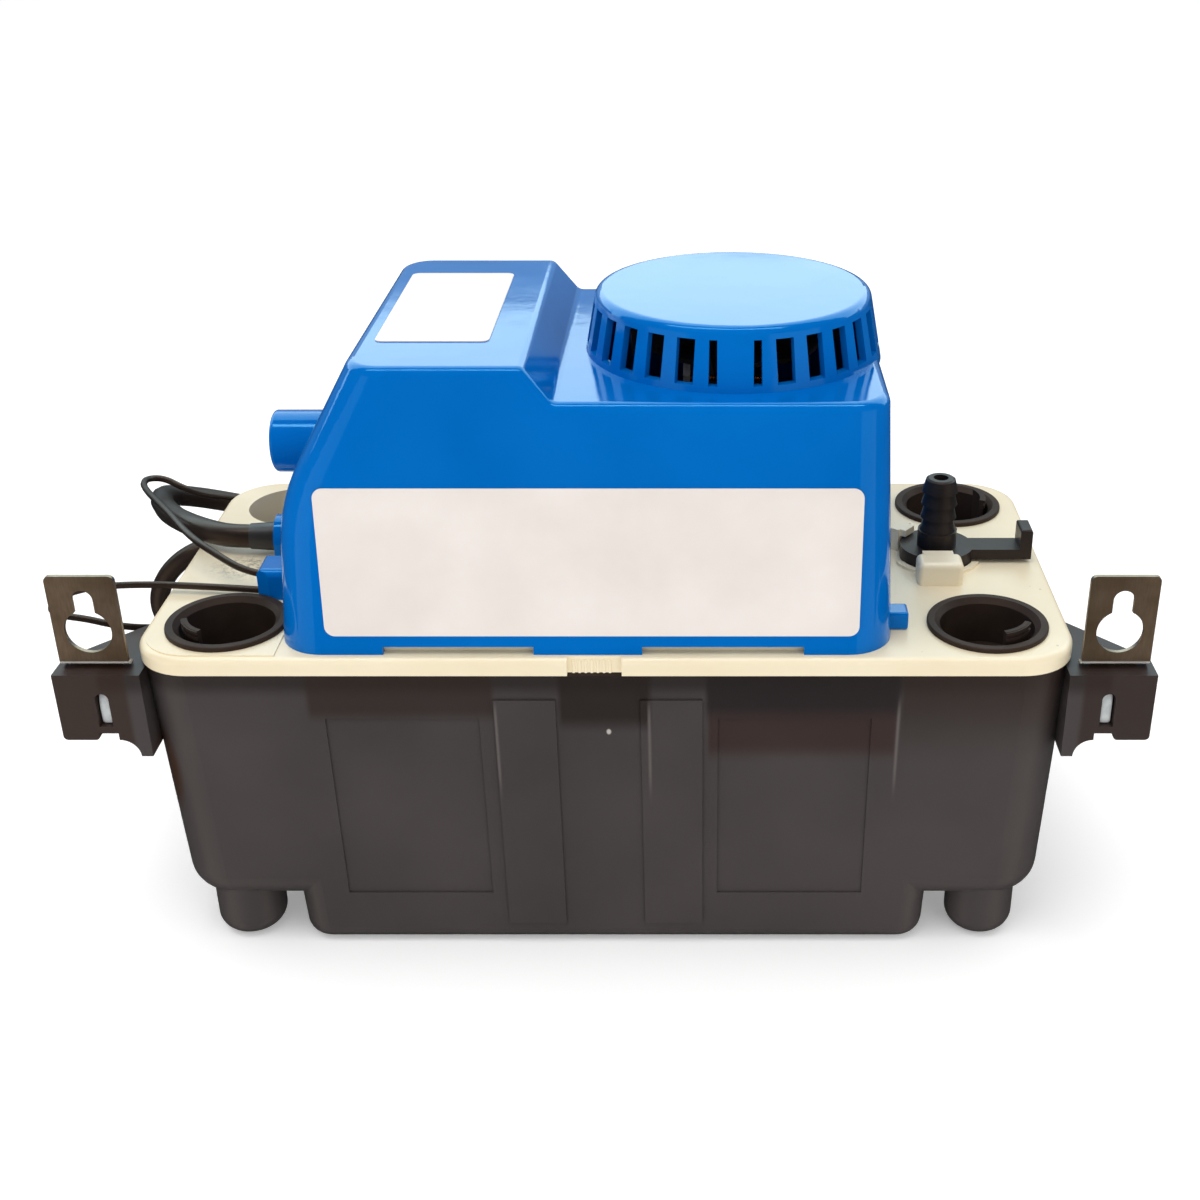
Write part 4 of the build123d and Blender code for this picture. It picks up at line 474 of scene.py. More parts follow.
@dataclass(frozen=True)
class TankMoulding(Moulding):
    """Charcoal ABS: satin, with painted shade and reflection as browner, darker patches under the rim, and
    one pale speck on the front.
    """

    # painted shade and reflection: darker, browner patches under the rim and on the ears, for dark
    # surroundings reflected and the lid's shade
    painted_shade_patches: tuple[PaintedShadePatch, ...] = (
        PaintedShadePatch(-130.0, 130.0, 82.0, 87.0, "#2A2321", 0.75),
        PaintedShadePatch(-77.0, -29.0, 74.0, 79.0, "#33251F", 0.7),
        PaintedShadePatch(-12.0, 11.5, 71.0, 77.0, "#2B211E", 0.85),
        PaintedShadePatch(26.5, 75.5, 61.5, 68.0, "#3A2622", 0.75),
        PaintedShadePatch(26.0, 76.0, 74.0, 81.0, "#262224", 0.8),
        PaintedShadePatch(76.5, 118.0, 60.0, 84.0, "#332722", 0.75),
        PaintedShadePatch(123.0, 150.0, 58.0, 62.0, "#33241F", 0.7),
        PaintedShadePatch(-150.0, -123.0, 58.0, 62.0, "#36231A", 0.7),
    )
    painted_shade_edge: float = 1.0                               # mm
    pale_lines: tuple[float, ...] = (-28.6, 11.2, 75.9)   # thin pale lines down from the rim, mm along X
    pale_line_heights: Edges = (48.0, 62.0, 76.0, 84.0)
    pale_line_half_width: float = 0.7
    pale_line_shade: str = "#6A6260"
    pale_line_strength: float = 0.7
    # painted shade: brown shading on the rounded left front corner, where the light turns it brown
    painted_corner_shade: Point = (-117.0, -47.0, 58.0)
    painted_corner_reach: Point = (5.0, 14.0, 17.0)
    painted_corner_colour: str = "#40220B"
    painted_corner_strength: float = 0.8
    speck: Point = (0.6, -55.2, 72.0)
    speck_reach: Point = (0.8, 2.0, 1.1)
    speck_shade: str = "#B9B2AA"
    spot_edge: float = 0.4                                # share of a spot's reach that is full

    def colour(self, coating: Coating) -> Socket:
        """Shades, the painted shade and reflection patches under the rim, thin pale lines, painted brown
        shading on one end's corner, and the speck.

        Args:
            coating: the material's nodes.

        Returns:
            The colour socket.
        """
        found = super().colour(coating)
        edge, width = self.painted_shade_edge, self.pale_line_half_width
        # lays on the painted shade and reflection patches
        for patch in self.painted_shade_patches:
            across = (patch.left - edge, patch.left + edge, patch.right - edge, patch.right + edge)
            found = coating.stained(found, patch.shade, coating.band(Axis.X, across),
                                    coating.fade(Axis.Z, patch.low, patch.full), patch.strength)
        # thin pale lines down from the rim, along the edges of the patches
        for x in self.pale_lines:
            line = coating.band(Axis.X, (x - width, x, x, x + width))
            found = coating.stained(found, self.pale_line_shade, line, coating.band(Axis.Z, self.pale_line_heights),
                                    self.pale_line_strength)
        # lays on the painted brown shading of the left front corner
        found = coating.stained(
            found, self.painted_corner_colour,
            coating.spot(self.painted_corner_shade, self.painted_corner_reach, self.spot_edge), self.painted_corner_strength)
        return coating.stained(
            found, self.speck_shade, coating.spot(self.speck, self.speck_reach, self.spot_edge))


@dataclass(frozen=True)
class LidMoulding(Moulding):
    """Ivory ABS: satin, a little smudged between the inlets at the cords' end."""

    dirt: str = "#5F5B52"
    smudge: Point = (-103.0, -4.0, 95.0)
    smudge_reach: Point = (15.0, 11.0, 30.0)
    smudge_edge: float = 0.1                        # share of its reach that is full
    grit: float = 1.6                               # size of the smudge's grains, mm
    speck_gap: float = 9.0                          # from one loose grain to the next, mm
    speck_edge: tuple[float, float] = (0.03, 0.05)  # its radius, full and faded, as a share of the gap
    speck_strength: float = 0.3

    def colour(self, coating: Coating) -> Socket:
        """Shades, with dirt rubbed into one place and a few grains of it elsewhere.

        Args:
            coating: the material's nodes.

        Returns:
            The colour socket.
        """
        grit = add_node(coating.tree, "ShaderNodeTexNoise", {
            "Vector": coating.place, "Scale": per_metre(self.grit), "Detail": 6.0, "Roughness": 0.7})
        grains = add_node(coating.tree, "ShaderNodeMapRange", {
            "Value": grit.outputs["Fac"], "From Min": 0.45, "From Max": 0.7})
        smudged = coating.stained(super().colour(coating), self.dirt, coating.spot(
            self.smudge, self.smudge_reach, self.smudge_edge), grains.outputs["Result"])
        specks = add_node(coating.tree, "ShaderNodeTexVoronoi", {
            "Vector": coating.place, "Scale": per_metre(self.speck_gap)})
        full, faded = self.speck_edge
        dots = add_node(coating.tree, "ShaderNodeMapRange", {
            "Value": specks.outputs["Distance"], "From Min": full, "From Max": faded,
            "To Min": self.speck_strength, "To Max": 0.0})
        return coating.stained(smudged, self.dirt, dots.outputs["Result"])


@dataclass(frozen=True)
class SheetMetal(Finish):
    """Rolled or drawn metal with fine lines one way."""

    name: str
    light: str
    dark: str
    roughness: float
    lines: Point = (1.0, 1.0, 40.0)   # stretch of the lines along X, Y and Z
    line: float = 0.5                 # distance between lines, mm, drawn coarser than real to show
    depth: float = 0.004              # height of the lines, mm
    patch: float = 14.0               # size of the shade patches, mm
    line_share: float = 0.35          # how much darker a line is
    wander: float = 0.07              # how far the roughness goes from line to line
    rubbed: Edges | None = None       # heights of a band painted bright as a highlight, mm
    painted_highlight_shade: str = "#F2EEE8"
    painted_highlight_metallic: float = 0.25

    def cover(self, coating: Coating) -> None:
        """Feeds the shader with patches, fine lines and the band painted bright as a highlight.

        Args:
            coating: the material's nodes.
        """
        along = add_node(coating.tree, "ShaderNodeMapping", {
            "Vector": coating.place, "Scale": tuple(1 / s for s in self.lines)})
        streaks = add_node(coating.tree, "ShaderNodeTexNoise", {
            "Vector": along.outputs["Vector"], "Scale": per_metre(self.line), "Detail": 2.0}).outputs["Fac"]
        share = add_node(coating.tree, "ShaderNodeMapRange", {
            "Value": streaks, **NOISE_SPAN, "To Min": 0.0, "To Max": self.line_share})
        shaded = coating.stained(coating.mottle(self.patch, self.light, self.dark), self.dark,
                                 share.outputs["Result"])
        sheen = add_node(coating.tree, "ShaderNodeMapRange", {
            "Value": streaks, **NOISE_SPAN,
            "To Min": self.roughness - self.wander, "To Max": self.roughness + self.wander})
        metallic = 1.0
        # a painted highlight: the band turns pale and less metallic, so that it shows bright
        if self.rubbed:
            band = coating.band(Axis.Z, self.rubbed)
            shaded = coating.stained(shaded, self.painted_highlight_shade, band)
            metallic = add_node(coating.tree, "ShaderNodeMapRange", {
                "Value": band, "To Min": 1.0, "To Max": self.painted_highlight_metallic}).outputs["Result"]
        coating.feed({"Base Color": shaded, "Metallic": metallic, "Roughness": sheen.outputs["Result"],
                      "Normal": coating.raised(streaks, self.depth)})


@dataclass(frozen=True)
class Wound(Finish):
    """Layers seen edge on: stacked laminations, or turns of wire."""

    name: str
    light: str
    gap: str
    roughness: float
    layer: float                      # thickness of a light or a dark layer, mm
    gap_width: float = 0.5            # share of the wave that the gap takes
    patch: float = 5.0                # size of the sheen's patches, mm
    wander: float = 0.08
    depth: float = 0.08               # depth of the gaps, mm
    wobble: float = 0.2

    def cover(self, coating: Coating) -> None:
        """Feeds the shader with the layers and the gaps between them.

        Args:
            coating: the material's nodes.
        """
        # a wave texture goes through 20 radians in each unit, and a layer is half a wave
        layers = add_node(coating.tree, "ShaderNodeTexWave", {
            "Vector": coating.place, "Scale": per_metre(self.layer) * math.pi / 20,
            "Distortion": self.wobble}, wave_type="BANDS", bands_direction=Axis.Z.value).outputs["Fac"]
        edge = add_node(coating.tree, "ShaderNodeMapRange", {
            "Value": layers, "From Min": 0.0, "From Max": self.gap_width})
        coating.feed({
            "Base Color": coating.stained(linear(self.gap), self.light, edge.outputs["Result"]),
            "Metallic": 1.0,
            "Roughness": coating.swing(self.patch, self.roughness, self.wander),
            "Normal": coating.raised(layers, self.depth)})


FINISHES: dict[str, Finish] = {
    # ABS from a satin tool: broad soft highlights, with painted shade and reflection darkening it under the
    # rim
    "tank_plastic": TankMoulding("charcoal_abs_satin", "#4A4443", "#423D3C", 0.42, patch=60.0,
                                 grain=0.45, depth=0.012, specular=0.25),
    # ABS from a finer tool: creamy, a clear but soft sheen on the edges
    "lid_plastic": LidMoulding("ivory_abs_satin", "#F6E9CB", "#F0E1BF", 0.34, patch=40.0, grain=0.5,
                               depth=0.006),
    # ABS from a polished tool: deep blue, its tops like a mirror with a cyan cast
    "cover_plastic": Moulding("azure_abs_polished", "#006CC3", "#0066BA", 0.1, patch=50.0, wander=0.03,
                              grain=9.0, depth=0.06, ior=1.52, gloss_tint="#7FE0FF"),
    # pressed stainless sheet, as rolled: grey brown with faint upright lines, and a painted highlight along
    # its bend
    "stainless_sheet": SheetMetal("rolled_stainless", "#A39383", "#82725F", 0.4, lines=(1.0, 1.0, 6.0),
                                  depth=0.002, rubbed=(89.9, 90.3, 91.2, 91.9)),
    # vinyl film: flat, off-white, hardly any sheen
    "label_film": Moulding("vinyl_label_film", "#EFE6E0", "#E6DDD6", 0.45, patch=25.0, grain=0.9,
                           depth=0.004),
    # moulded nitrile rubber: matt, near black, a brownish bloom
    "black_rubber": Moulding("moulded_rubber", "#3A2F29", "#302722", 0.5, patch=9.0, grain=0.5, depth=0.012,
                             specular=0.12, gloss_tint="#FFD9BF"),
    # moulded acetal: black with a waxy, warm sheen
    "valve_plastic": Moulding("black_acetal", "#2B2727", "#242020", 0.36, patch=10.0, grain=0.5, depth=0.01,
                              specular=0.25, gloss_tint="#FFE3CC"),
    # zinc plate over drawn wire: bright, bluish grey, finely spangled
    "zinc_steel": SheetMetal("zinc_plated_steel", "#B9BCC0", "#9A9DA2", 0.3, lines=(1.0, 1.0, 1.0)),
    # varnished silicon steel, stamped and stacked: dull grey with dark lines between the sheets
    "lamination_steel": Wound("varnished_laminations", "#6A6662", "#2B2927", 0.45, 0.65),
    # enamelled magnet wire, wound in layers: a deep orange gloss with dark gaps
    "copper_winding": Wound("enamelled_copper_wire", "#A4552C", "#4A2010", 0.3, 0.6),
    # moulded natural nylon: milky, a soft sheen
    "white_nylon": Moulding("natural_nylon", "#E9E4D8", "#DED8CA", 0.4, patch=12.0, grain=0.6, depth=0.01),
    # sintered bronze: open pores, dull gold
    "bearing_bronze": SheetMetal("sintered_bronze", "#A98750", "#7D6238", 0.5, lines=(1.0, 1.0, 1.0)),
    # centreless ground bar: bright with fine rings
    "shaft_steel": SheetMetal("ground_stainless_bar", "#C9C9C8", "#A9A9A8", 0.2, lines=(30.0, 30.0, 1.0)),
    # moulded grey PVC: an even, flat sheen
    "grey_pvc": Moulding("grey_pvc", "#7B7E81", "#6D7073", 0.45, patch=18.0, grain=0.7, depth=0.01),
    # moulded nitrile rubber, tumbled: a brown black with no gloss
    "ball_rubber": Moulding("nitrile_ball", "#3B2C24", "#33261F", 0.55, patch=3.0, grain=0.4, depth=0.01),
    # extruded PVC jacket: brown black, a waxy highlight along its length
    "cord_jacket": Moulding("extruded_pvc_jacket", "#2C231F", "#221B18", 0.34, patch=14.0, grain=0.8,
                            depth=0.02, specular=0.4, gloss_tint="#FFE3CC"),
    # PVC moulded over the plug: black, a soft sheen from a satin tool
    "plug_pvc": Moulding("moulded_black_pvc", "#2C2A2A", "#232121", 0.42, patch=10.0, grain=0.5,
                         depth=0.015),
    # nickel plate over brass, blanked from strip: pale gold with fine lines along the blade
    "nickel_brass": SheetMetal("nickel_plated_brass", "#D6D0BE", "#B4AE9C", 0.22, lines=(12.0, 1.0, 1.0)),
    # moulded black nylon: smooth, a small clear highlight
    "tie_nylon": Moulding("black_nylon_tie", "#2A2A2C", "#202022", 0.34, patch=6.0, grain=0.4, depth=0.008),
    # the hangers' stainless where the snap shows in the ear: painted pale and bright from every side, a
    # painted highlight for the light that it catches
    "snap_steel": Moulding("stainless_painted_bright", "#E4E8E8", "#C9CECE", 0.4, patch=3.0, grain=0.5, depth=0.01),
    # bare copper strands, tinned: pinkish, with a broken shine
    "bare_copper": SheetMetal("tinned_copper_strands", "#C08A60", "#8C5A38", 0.35, lines=(1.0, 1.0, 1.0)),
}


# ---- repeats ----------------------------------------------------------------------------------
class Repeat:
    """A Geometry Nodes tree that lays copies of a small shape along a line."""

    INPUTS: dict[str, str] = {
        "Count": "Int", "Start": "Vector", "Step": "Vector", "Turn": "Vector", "Size": "Vector",
        "Last Scale": "Float", "Finish": "Material"}

    def __init__(self, name: str) -> None:
        """Starts the tree with the inputs that every row has.

        Args:
            name: the tree's name.
        """
        self.tree = bpy.data.node_groups.new(name, "GeometryNodeTree")
        face = self.tree.interface
        self.sockets = {given: face.new_socket(given, in_out="INPUT", socket_type=f"NodeSocket{kind}")
                        for given, kind in self.INPUTS.items()}
        face.new_socket("Geometry", in_out="OUTPUT", socket_type="NodeSocketGeometry")
        self.entry = add_node(self.tree, "NodeGroupInput")

    def row(self, shape: Socket) -> None:
        """Lays the shape along the line, makes the copies real and gives them their finish.

        Args:
            shape: the geometry of one copy, one unit in size.
        """
        tree, given = self.tree, self.entry.outputs
        line = add_node(tree, "GeometryNodeMeshLine", {
            "Count": given["Count"], "Start Location": given["Start"], "Offset": given["Step"]})
        index = add_node(tree, "GeometryNodeInputIndex").outputs["Index"]
        last = add_node(tree, "ShaderNodeMath", {0: given["Count"], 1: 1.0}, operation="SUBTRACT")
        shrink = add_node(tree, "ShaderNodeMapRange", {
            "Value": index, "From Min": 0.0, "From Max": last.outputs["Value"],
            "To Min": 1.0, "To Max": given["Last Scale"]})
        size = add_node(tree, "ShaderNodeVectorMath", {
            0: given["Size"], "Scale": shrink.outputs["Result"]}, operation="SCALE")
        copies = add_node(tree, "GeometryNodeInstanceOnPoints", {
            "Points": line.outputs["Mesh"], "Instance": shape, "Rotation": given["Turn"],
            "Scale": size.outputs["Vector"]})
        real = add_node(tree, "GeometryNodeRealizeInstances", {"Geometry": copies.outputs["Instances"]})
        dressed = add_node(tree, "GeometryNodeSetMaterial", {
            "Geometry": real.outputs["Geometry"], "Material": given["Finish"]})
        add_node(tree, "NodeGroupOutput", {"Geometry": dressed.outputs["Geometry"]})

    def apply(self, name: str, values: dict[str, Any]) -> bpy.types.Object:
        """Runs the tree once and keeps the result as a plain mesh.

        Args:
            name: the new piece's name.
            values: what each named input holds.

        Returns:
            The piece, at the origin and with no modifier.
        """
        holder = placed(name + "_rule", bpy.data.meshes.new(name + "_rule"))
        modifier = holder.modifiers.new("repeat", "NODES")
        modifier.node_group = self.tree
        for key, value in values.items():
            modifier[self.sockets[key].identifier] = value
        holder.update_tag()
        bpy.context.view_layer.update()
        result = holder.evaluated_get(bpy.context.evaluated_depsgraph_get())
        mesh = bpy.data.meshes.new_from_object(result)
        holder.modifiers.clear()
        bpy.data.objects.remove(holder)
        mesh.name = name
        return smooth(placed(name, mesh))


def ring_row(bead: float = 0.16) -> Repeat:
    """A row of round rings, each a circle of a round bead.

    Args:
        bead: the bead's radius, as a share of the ring's.

    Returns:
        The tree.
    """
    rule = Repeat("row_of_rings")
    circle = add_node(rule.tree, "GeometryNodeCurvePrimitiveCircle", {"Resolution": 40, "Radius": 1.0})
    section = add_node(rule.tree, "GeometryNodeCurvePrimitiveCircle", {"Resolution": 10, "Radius": bead})
    swept = add_node(rule.tree, "GeometryNodeCurveToMesh", {
        "Curve": circle.outputs["Curve"], "Profile Curve": section.outputs["Curve"]})
    rule.row(swept.outputs["Mesh"])
    return rule


def bar_row() -> Repeat:
    """A row of upright round bars that lie half sunk in a surface.

    Returns:
        The tree.
    """
    rule = Repeat("row_of_bars")
    cylinder = add_node(rule.tree, "GeometryNodeMeshCylinder", {
        "Vertices": 16, "Side Segments": 1, "Fill Segments": 1, "Radius": 0.5, "Depth": 1.0})
    rule.row(cylinder.outputs["Mesh"])
    return rule


def wire_row(corner: float = 0.12, wire: float = 0.018) -> Repeat:
    """A row of wire turns, each a rounded rectangle of round wire.

    Args:
        corner: the corners' radius, as a share of a turn's width.
        wire: the wire's radius, as a share of a turn's width.

    Returns:
        The tree.
    """
    rule = Repeat("row_of_wire_turns")
    plan = add_node(rule.tree, "GeometryNodeCurvePrimitiveQuadrilateral", {"Width": 1.0, "Height": 1.0})
    rounded = add_node(rule.tree, "GeometryNodeFilletCurve", {
        "Curve": plan.outputs["Curve"], "Radius": corner, "Count": 4}, mode="POLY")
    section = add_node(rule.tree, "GeometryNodeCurvePrimitiveCircle", {"Resolution": 8, "Radius": wire})
    swept = add_node(rule.tree, "GeometryNodeCurveToMesh", {
        "Curve": rounded.outputs["Curve"], "Profile Curve": section.outputs["Curve"]})
    rule.row(swept.outputs["Mesh"])
    return rule


# ---- cords ------------------------------------------------------------------------------------
class Way(Enum):
    """Where a coil begins, as the angle of its first point from +X in degrees."""

    FRONT = 270.0
    RIGHT = 0.0


@dataclass(frozen=True)
class RoundCoil:
    """A neat coil in two layers: wound inwards on the ground, up, and outwards on top."""

    middle: tuple[float, float]
    outer: float                  # radius of the outermost turn
    pitch: float                  # from one turn to the next
    low: float                    # height of the lower layer's centre
    high: float                   # height of the upper layer's centre
    way: Way
    layer_turns: float
    climb_turns: float = 0.5
    steps: int = 14               # points in each turn

    def points(self) -> list[Point]:
        """The coil's turns as control points.

        Returns:
            The points in order, in millimetres, a little outside the line that the spline takes.
        """
        total = 2 * self.layer_turns + self.climb_turns
        inner = self.outer - self.pitch * self.layer_turns
        stretch = 4 / (3 + math.cos(math.tau / self.steps))   # the spline runs inside its points by this
        found = []
        for step in range(round(total * self.steps) + 1):
            turn = step / self.steps
            left = total - turn
            radius = max(inner, self.outer - self.pitch * min(turn, left)) * stretch
            share = min(1.0, max(0.0, (turn - self.layer_turns) / self.climb_turns))
            angle = math.radians(self.way.value) + math.tau * turn
            found.append((self.middle[0] + radius * math.cos(angle),
                          self.middle[1] + radius * math.sin(angle),
                          self.low + (self.high - self.low) * share))
        return found

    def span(self, angle: float) -> tuple[float, float]:
        """Radii of the innermost and outermost strands at an angle.

        Args:
            angle: the place round the coil, in degrees.

        Returns:
            Both radii, to the strands' centres.
        """
        found = []
        for x, y, _ in self.points():
            out = Vector((x - self.middle[0], y - self.middle[1]))
            turned = math.degrees(math.atan2(out.y, out.x)) - angle
            if abs((turned + 180) % 360 - 180) < 180 / self.steps:
                found.append(out.length)
        return min(found), max(found)


@dataclass(frozen=True)
class FreeCord:
    """A flexible cord: its route, its coil, its tail and what is at its ends."""

    name: str
    radius: float
    route: list[Point]            # from the exit to the coil
    coil: RoundCoil
    tail: list[Point]             # from the coil to the far end
    length: float                 # metres
    far_end: str
    stiffness: str
    replaced: tuple[str, ...]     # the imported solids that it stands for
    sides: int = 4                # how finely its section is rounded

    def build(self, finish: bpy.types.Material) -> bpy.types.Object:
        """Makes the cord as one smooth spline.

        Args:
            finish: the jacket's material.

        Returns:
            The curve.
        """
        curve = bpy.data.curves.new(self.name, "CURVE")
        curve.dimensions = "3D"
        curve.bevel_depth = self.radius * MM
        curve.bevel_resolution = self.sides
        curve.resolution_u = 6
        curve.use_fill_caps = True
        points = in_metres(self.route + self.coil.points() + self.tail)
        spline = curve.splines.new("NURBS")
        spline.points.add(len(points) - 1)
        for control, place in zip(spline.points, points):
            control.co = (*place, 1.0)
        spline.order_u = 3            # keeps the line close to its points, and smooth
        spline.use_endpoint_u = True
        curve.materials.append(finish)
        return placed(self.name, curve)

    def declare(self, piece: bpy.types.Object, with_pieces: list[bpy.types.Object]) -> None:
        """Rides the cord on the pump's base and hides the imported solids that it stands for.

        Args:
            piece: the cord.
            with_pieces: the pieces that are on it; not used.
        """
        keep(piece)
        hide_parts(*self.replaced)


MAINS = FreeCord(
    name="mains_lead", radius=3.4,
    route=[
        (-104.3, 6.0, 100.0), (-110.4, 6.0, 100.0), (-117.6, 9.9, 99.8), (-124.6, 15.6, 99.2),
        (-131.0, 23.0, 98.0), (-136.6, 31.6, 96.6), (-141.4, 41.5, 95.0), (-145.4, 52.5, 92.2),
        (-145.2, 62.5, 88.6), (-139.6, 69.6, 84.8), (-130.6, 73.2, 81.4), (-120.0, 75.2, 78.2),
        (-109.0, 77.2, 75.0), (-98.0, 80.2, 71.6), (-87.6, 85.4, 68.4), (-79.4, 93.6, 65.4),
        (-75.2, 104.6, 62.6), (-76.4, 116.0, 60.0), (-83.0, 125.8, 57.8), (-93.0, 132.0, 56.0),
        (-105.0, 133.6, 54.8), (-117.0, 129.6, 54.0), (-128.6, 122.0, 53.2), (-140.0, 113.4, 52.0),
        (-150.6, 106.0, 50.6), (-160.6, 102.4, 46.6), (-168.2, 101.6, 38.2), (-171.6, 103.2, 27.4),
        (-169.2, 106.0, 16.4), (-161.4, 108.0, 8.0), (-150.4, 108.6, 4.2), (-136.0, 107.2, 3.6),
        (-118.0, 102.6, 3.6), (-98.0, 94.8, 3.7), (-78.0, 85.6, 3.8), (-58.0, 77.6, 3.9),
        (-43.0, 73.6, 4.0)],
    coil=RoundCoil(middle=(-30.0, 118.0), outer=45.2, pitch=6.8, low=4.0, high=10.7, way=Way.FRONT,
                   layer_turns=2.75),
    tail=[(-14.0, 73.8, 10.5), (2.0, 77.4, 9.8), (14.0, 81.4, 8.8), (20.0, 83.0, 8.6), (26.6, 83.0, 8.6)],
    length=1.83, far_end="plug", stiffness="medium",
    replaced=("mains_cord", "mains_cord_coil", "mains_cord_tail"))

LEAD_A = FreeCord(
    name="safety_lead_upper", radius=1.0,
    route=[
        (-95.5, -18.4, 99.8), (-101.0, -17.4, 100.6), (-108.4, -12.2, 102.2), (-115.4, -6.6, 103.6),
        (-121.8, 1.0, 104.2), (-128.4, 11.2, 104.3), (-134.6, 20.4, 104.0), (-140.6, 29.4, 103.4),
        (-145.0, 37.6, 102.8), (-145.6, 43.6, 102.2), (-141.2, 46.2, 101.2), (-135.4, 44.6, 98.6),
        (-130.4, 47.2, 95.2), (-125.6, 51.8, 92.6), (-121.6, 57.6, 88.6), (-118.6, 61.8, 80.0),
        (-117.6, 63.4, 66.0), (-117.8, 63.9, 50.0), (-117.6, 63.7, 34.0), (-117.4, 63.8, 18.0),
        (-116.8, 63.4, 8.0), (-114.4, 63.8, 2.8), (-110.6, 65.2, 1.3)],
    coil=RoundCoil(middle=(-106.0, 78.4), outer=12.7, pitch=2.0, low=1.2, high=3.2, way=Way.FRONT,
                   layer_turns=1.75),
    tail=[(-100.0, 66.0, 2.8), (-94.5, 66.9, 1.9), (-90.6, 68.0, 1.3)],
    length=0.49, far_end="bare", stiffness="limp",
    replaced=("switch_lead_a", "switch_lead_a_coil"), sides=2)

LEAD_B = FreeCord(
    name="safety_lead_lower", radius=1.0,
    route=[
        (-95.5, -21.6, 96.6), (-104.0, -21.0, 96.9), (-115.0, -20.4, 97.2), (-126.0, -19.5, 97.2),
        (-137.0, -19.3, 96.8), (-147.0, -19.0, 95.2), (-154.0, -18.3, 91.6), (-156.0, -17.0, 87.6),
        (-153.2, -15.6, 85.4), (-147.5, -14.6, 84.0), (-141.2, -13.2, 81.4), (-136.4, -9.6, 78.6),
        (-133.0, -1.0, 74.0), (-131.0, 12.0, 66.0), (-130.0, 27.0, 55.0), (-129.6, 42.0, 42.0),
        (-129.6, 55.0, 28.0), (-129.4, 64.0, 15.0), (-129.0, 70.4, 5.8), (-128.4, 74.6, 1.7)],
    coil=RoundCoil(middle=(-141.0, 78.4), outer=12.7, pitch=2.0, low=1.2, high=3.2, way=Way.RIGHT,
                   layer_turns=1.75),
    tail=[(-128.4, 84.4, 2.8), (-129.2, 89.8, 1.9), (-130.4, 93.6, 1.3)],
    length=0.48, far_end="bare", stiffness="limp",
    replaced=("switch_lead_b", "switch_lead_b_coil"), sides=2)


@dataclass(frozen=True)
class CoilTie:
    """A tie round all the turns of a coil, with its lock on top."""

    coil: RoundCoil
    cord_radius: float
    angle: float                  # where it is round the coil, degrees
    width: float
    thick: float
    corner: float
    lock: Point = (1.25, 1.3, 3.0)   # its length and width as shares of width, its height of thick
    lock_lift: float = 1.6           # height of its middle over the coil, as a share of thick
    lock_round: float = 0.4          # its edges' bevel, as a share of thick
    corner_steps: int = 5

    def build(self, name: str, finish: bpy.types.Material) -> bpy.types.Object:
        """Makes the band and its lock.

        Args:
            name: the piece's name.
            finish: its material.

        Returns:
            The tie.
        """
        shape = bmesh.new()
        near, far = self.coil.span(self.angle)
        inner, outer = near - self.cord_radius, far + self.cord_radius
        top = self.coil.high + self.cord_radius
        outline = self.rounded((inner - self.thick, outer + self.thick), (0.0, top + self.thick),
                               self.corner + self.thick)
        hole = self.rounded((inner, outer), (self.thick, top), self.corner)
        angle = math.radians(self.angle)
        out = Vector((math.cos(angle), math.sin(angle), 0))
        side = Vector((-out.y, out.x, 0))
        middle = Vector((*self.coil.middle, 0))

        def place(away: float, across: float, height: float) -> Vector:
            """A place at a distance from the coil's middle, across the band and up, in metres."""
            return (middle + out * away + side * across + Vector((0, 0, height))) * MM

        half = self.width / 2
        rings = [[shape.verts.new(place(away, across, height)) for away, height in line]
                 for line, across in ((outline, -half), (outline, half), (hole, half), (hole, -half))]
        join_rings(shape, rings + rings[:1])
        lock = bmesh.ops.create_cube(shape, size=1.0)["verts"]
        length, width, height = (a * b for a, b in zip(self.lock, (self.width, self.width, self.thick)))
        for vert in lock:
            x, y, z = vert.co
            vert.co = place((inner + outer) / 2 + x * length, y * width,
                            top + self.lock_lift * self.thick + z * height)
        bmesh.ops.bevel(shape, geom=[e for e in shape.edges if all(v in lock for v in e.verts)],
                        offset=self.lock_round * self.thick * MM, segments=2, affect="EDGES")
        return smooth(mesh_object(name, shape, finish))

    def rounded(self, across: tuple[float, float], up: tuple[float, float],
                radius: float) -> list[tuple[float, float]]:
        """A rectangle with round corners.

        Args:
            across: its near and far sides.
            up: its bottom and top.
            radius: its corners' radius.

        Returns:
            The outline's points in order.
        """
        (near, far), (low, high) = across, up
        found = []
        for side, level, first in ((far, high, 0), (near, high, 90), (near, low, 180), (far, low, 270)):
            inside = side - math.copysign(radius, side - (near + far) / 2)
            within = level - math.copysign(radius, level - (low + high) / 2)
            for step in range(self.corner_steps + 1):
                angle = math.radians(first + 90 * step / self.corner_steps)
                found.append((inside + radius * math.cos(angle), within + radius * math.sin(angle)))
        return found


# ---- sub-assemblies ---------------------------------------------------------------------------
@dataclass
class Pump:
    """What the sub-assemblies share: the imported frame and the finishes."""

    frame: dict[str, Any]
    finishes: dict[str, bpy.types.Material] = field(default_factory=dict)

    def finish(self, name: str) -> bpy.types.Material:
        """A finish's material, made when it is first asked for.

        Args:
            name: the finish's name, which is also its slot's where it has one.

        Returns:
            The material.
        """
        if name not in self.finishes:
            self.finishes[name] = FINISHES[name].make()
        return self.finishes[name]

    def dress(self) -> None:
        """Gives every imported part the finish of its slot."""
        for part in self.frame["nodes"].values():
            for place in part.material_slots:
                slot = place.material.name.split(".")[0]
                place.material = self.finish(slot)
        log.info("dressed %d parts", len(self.frame["nodes"]))


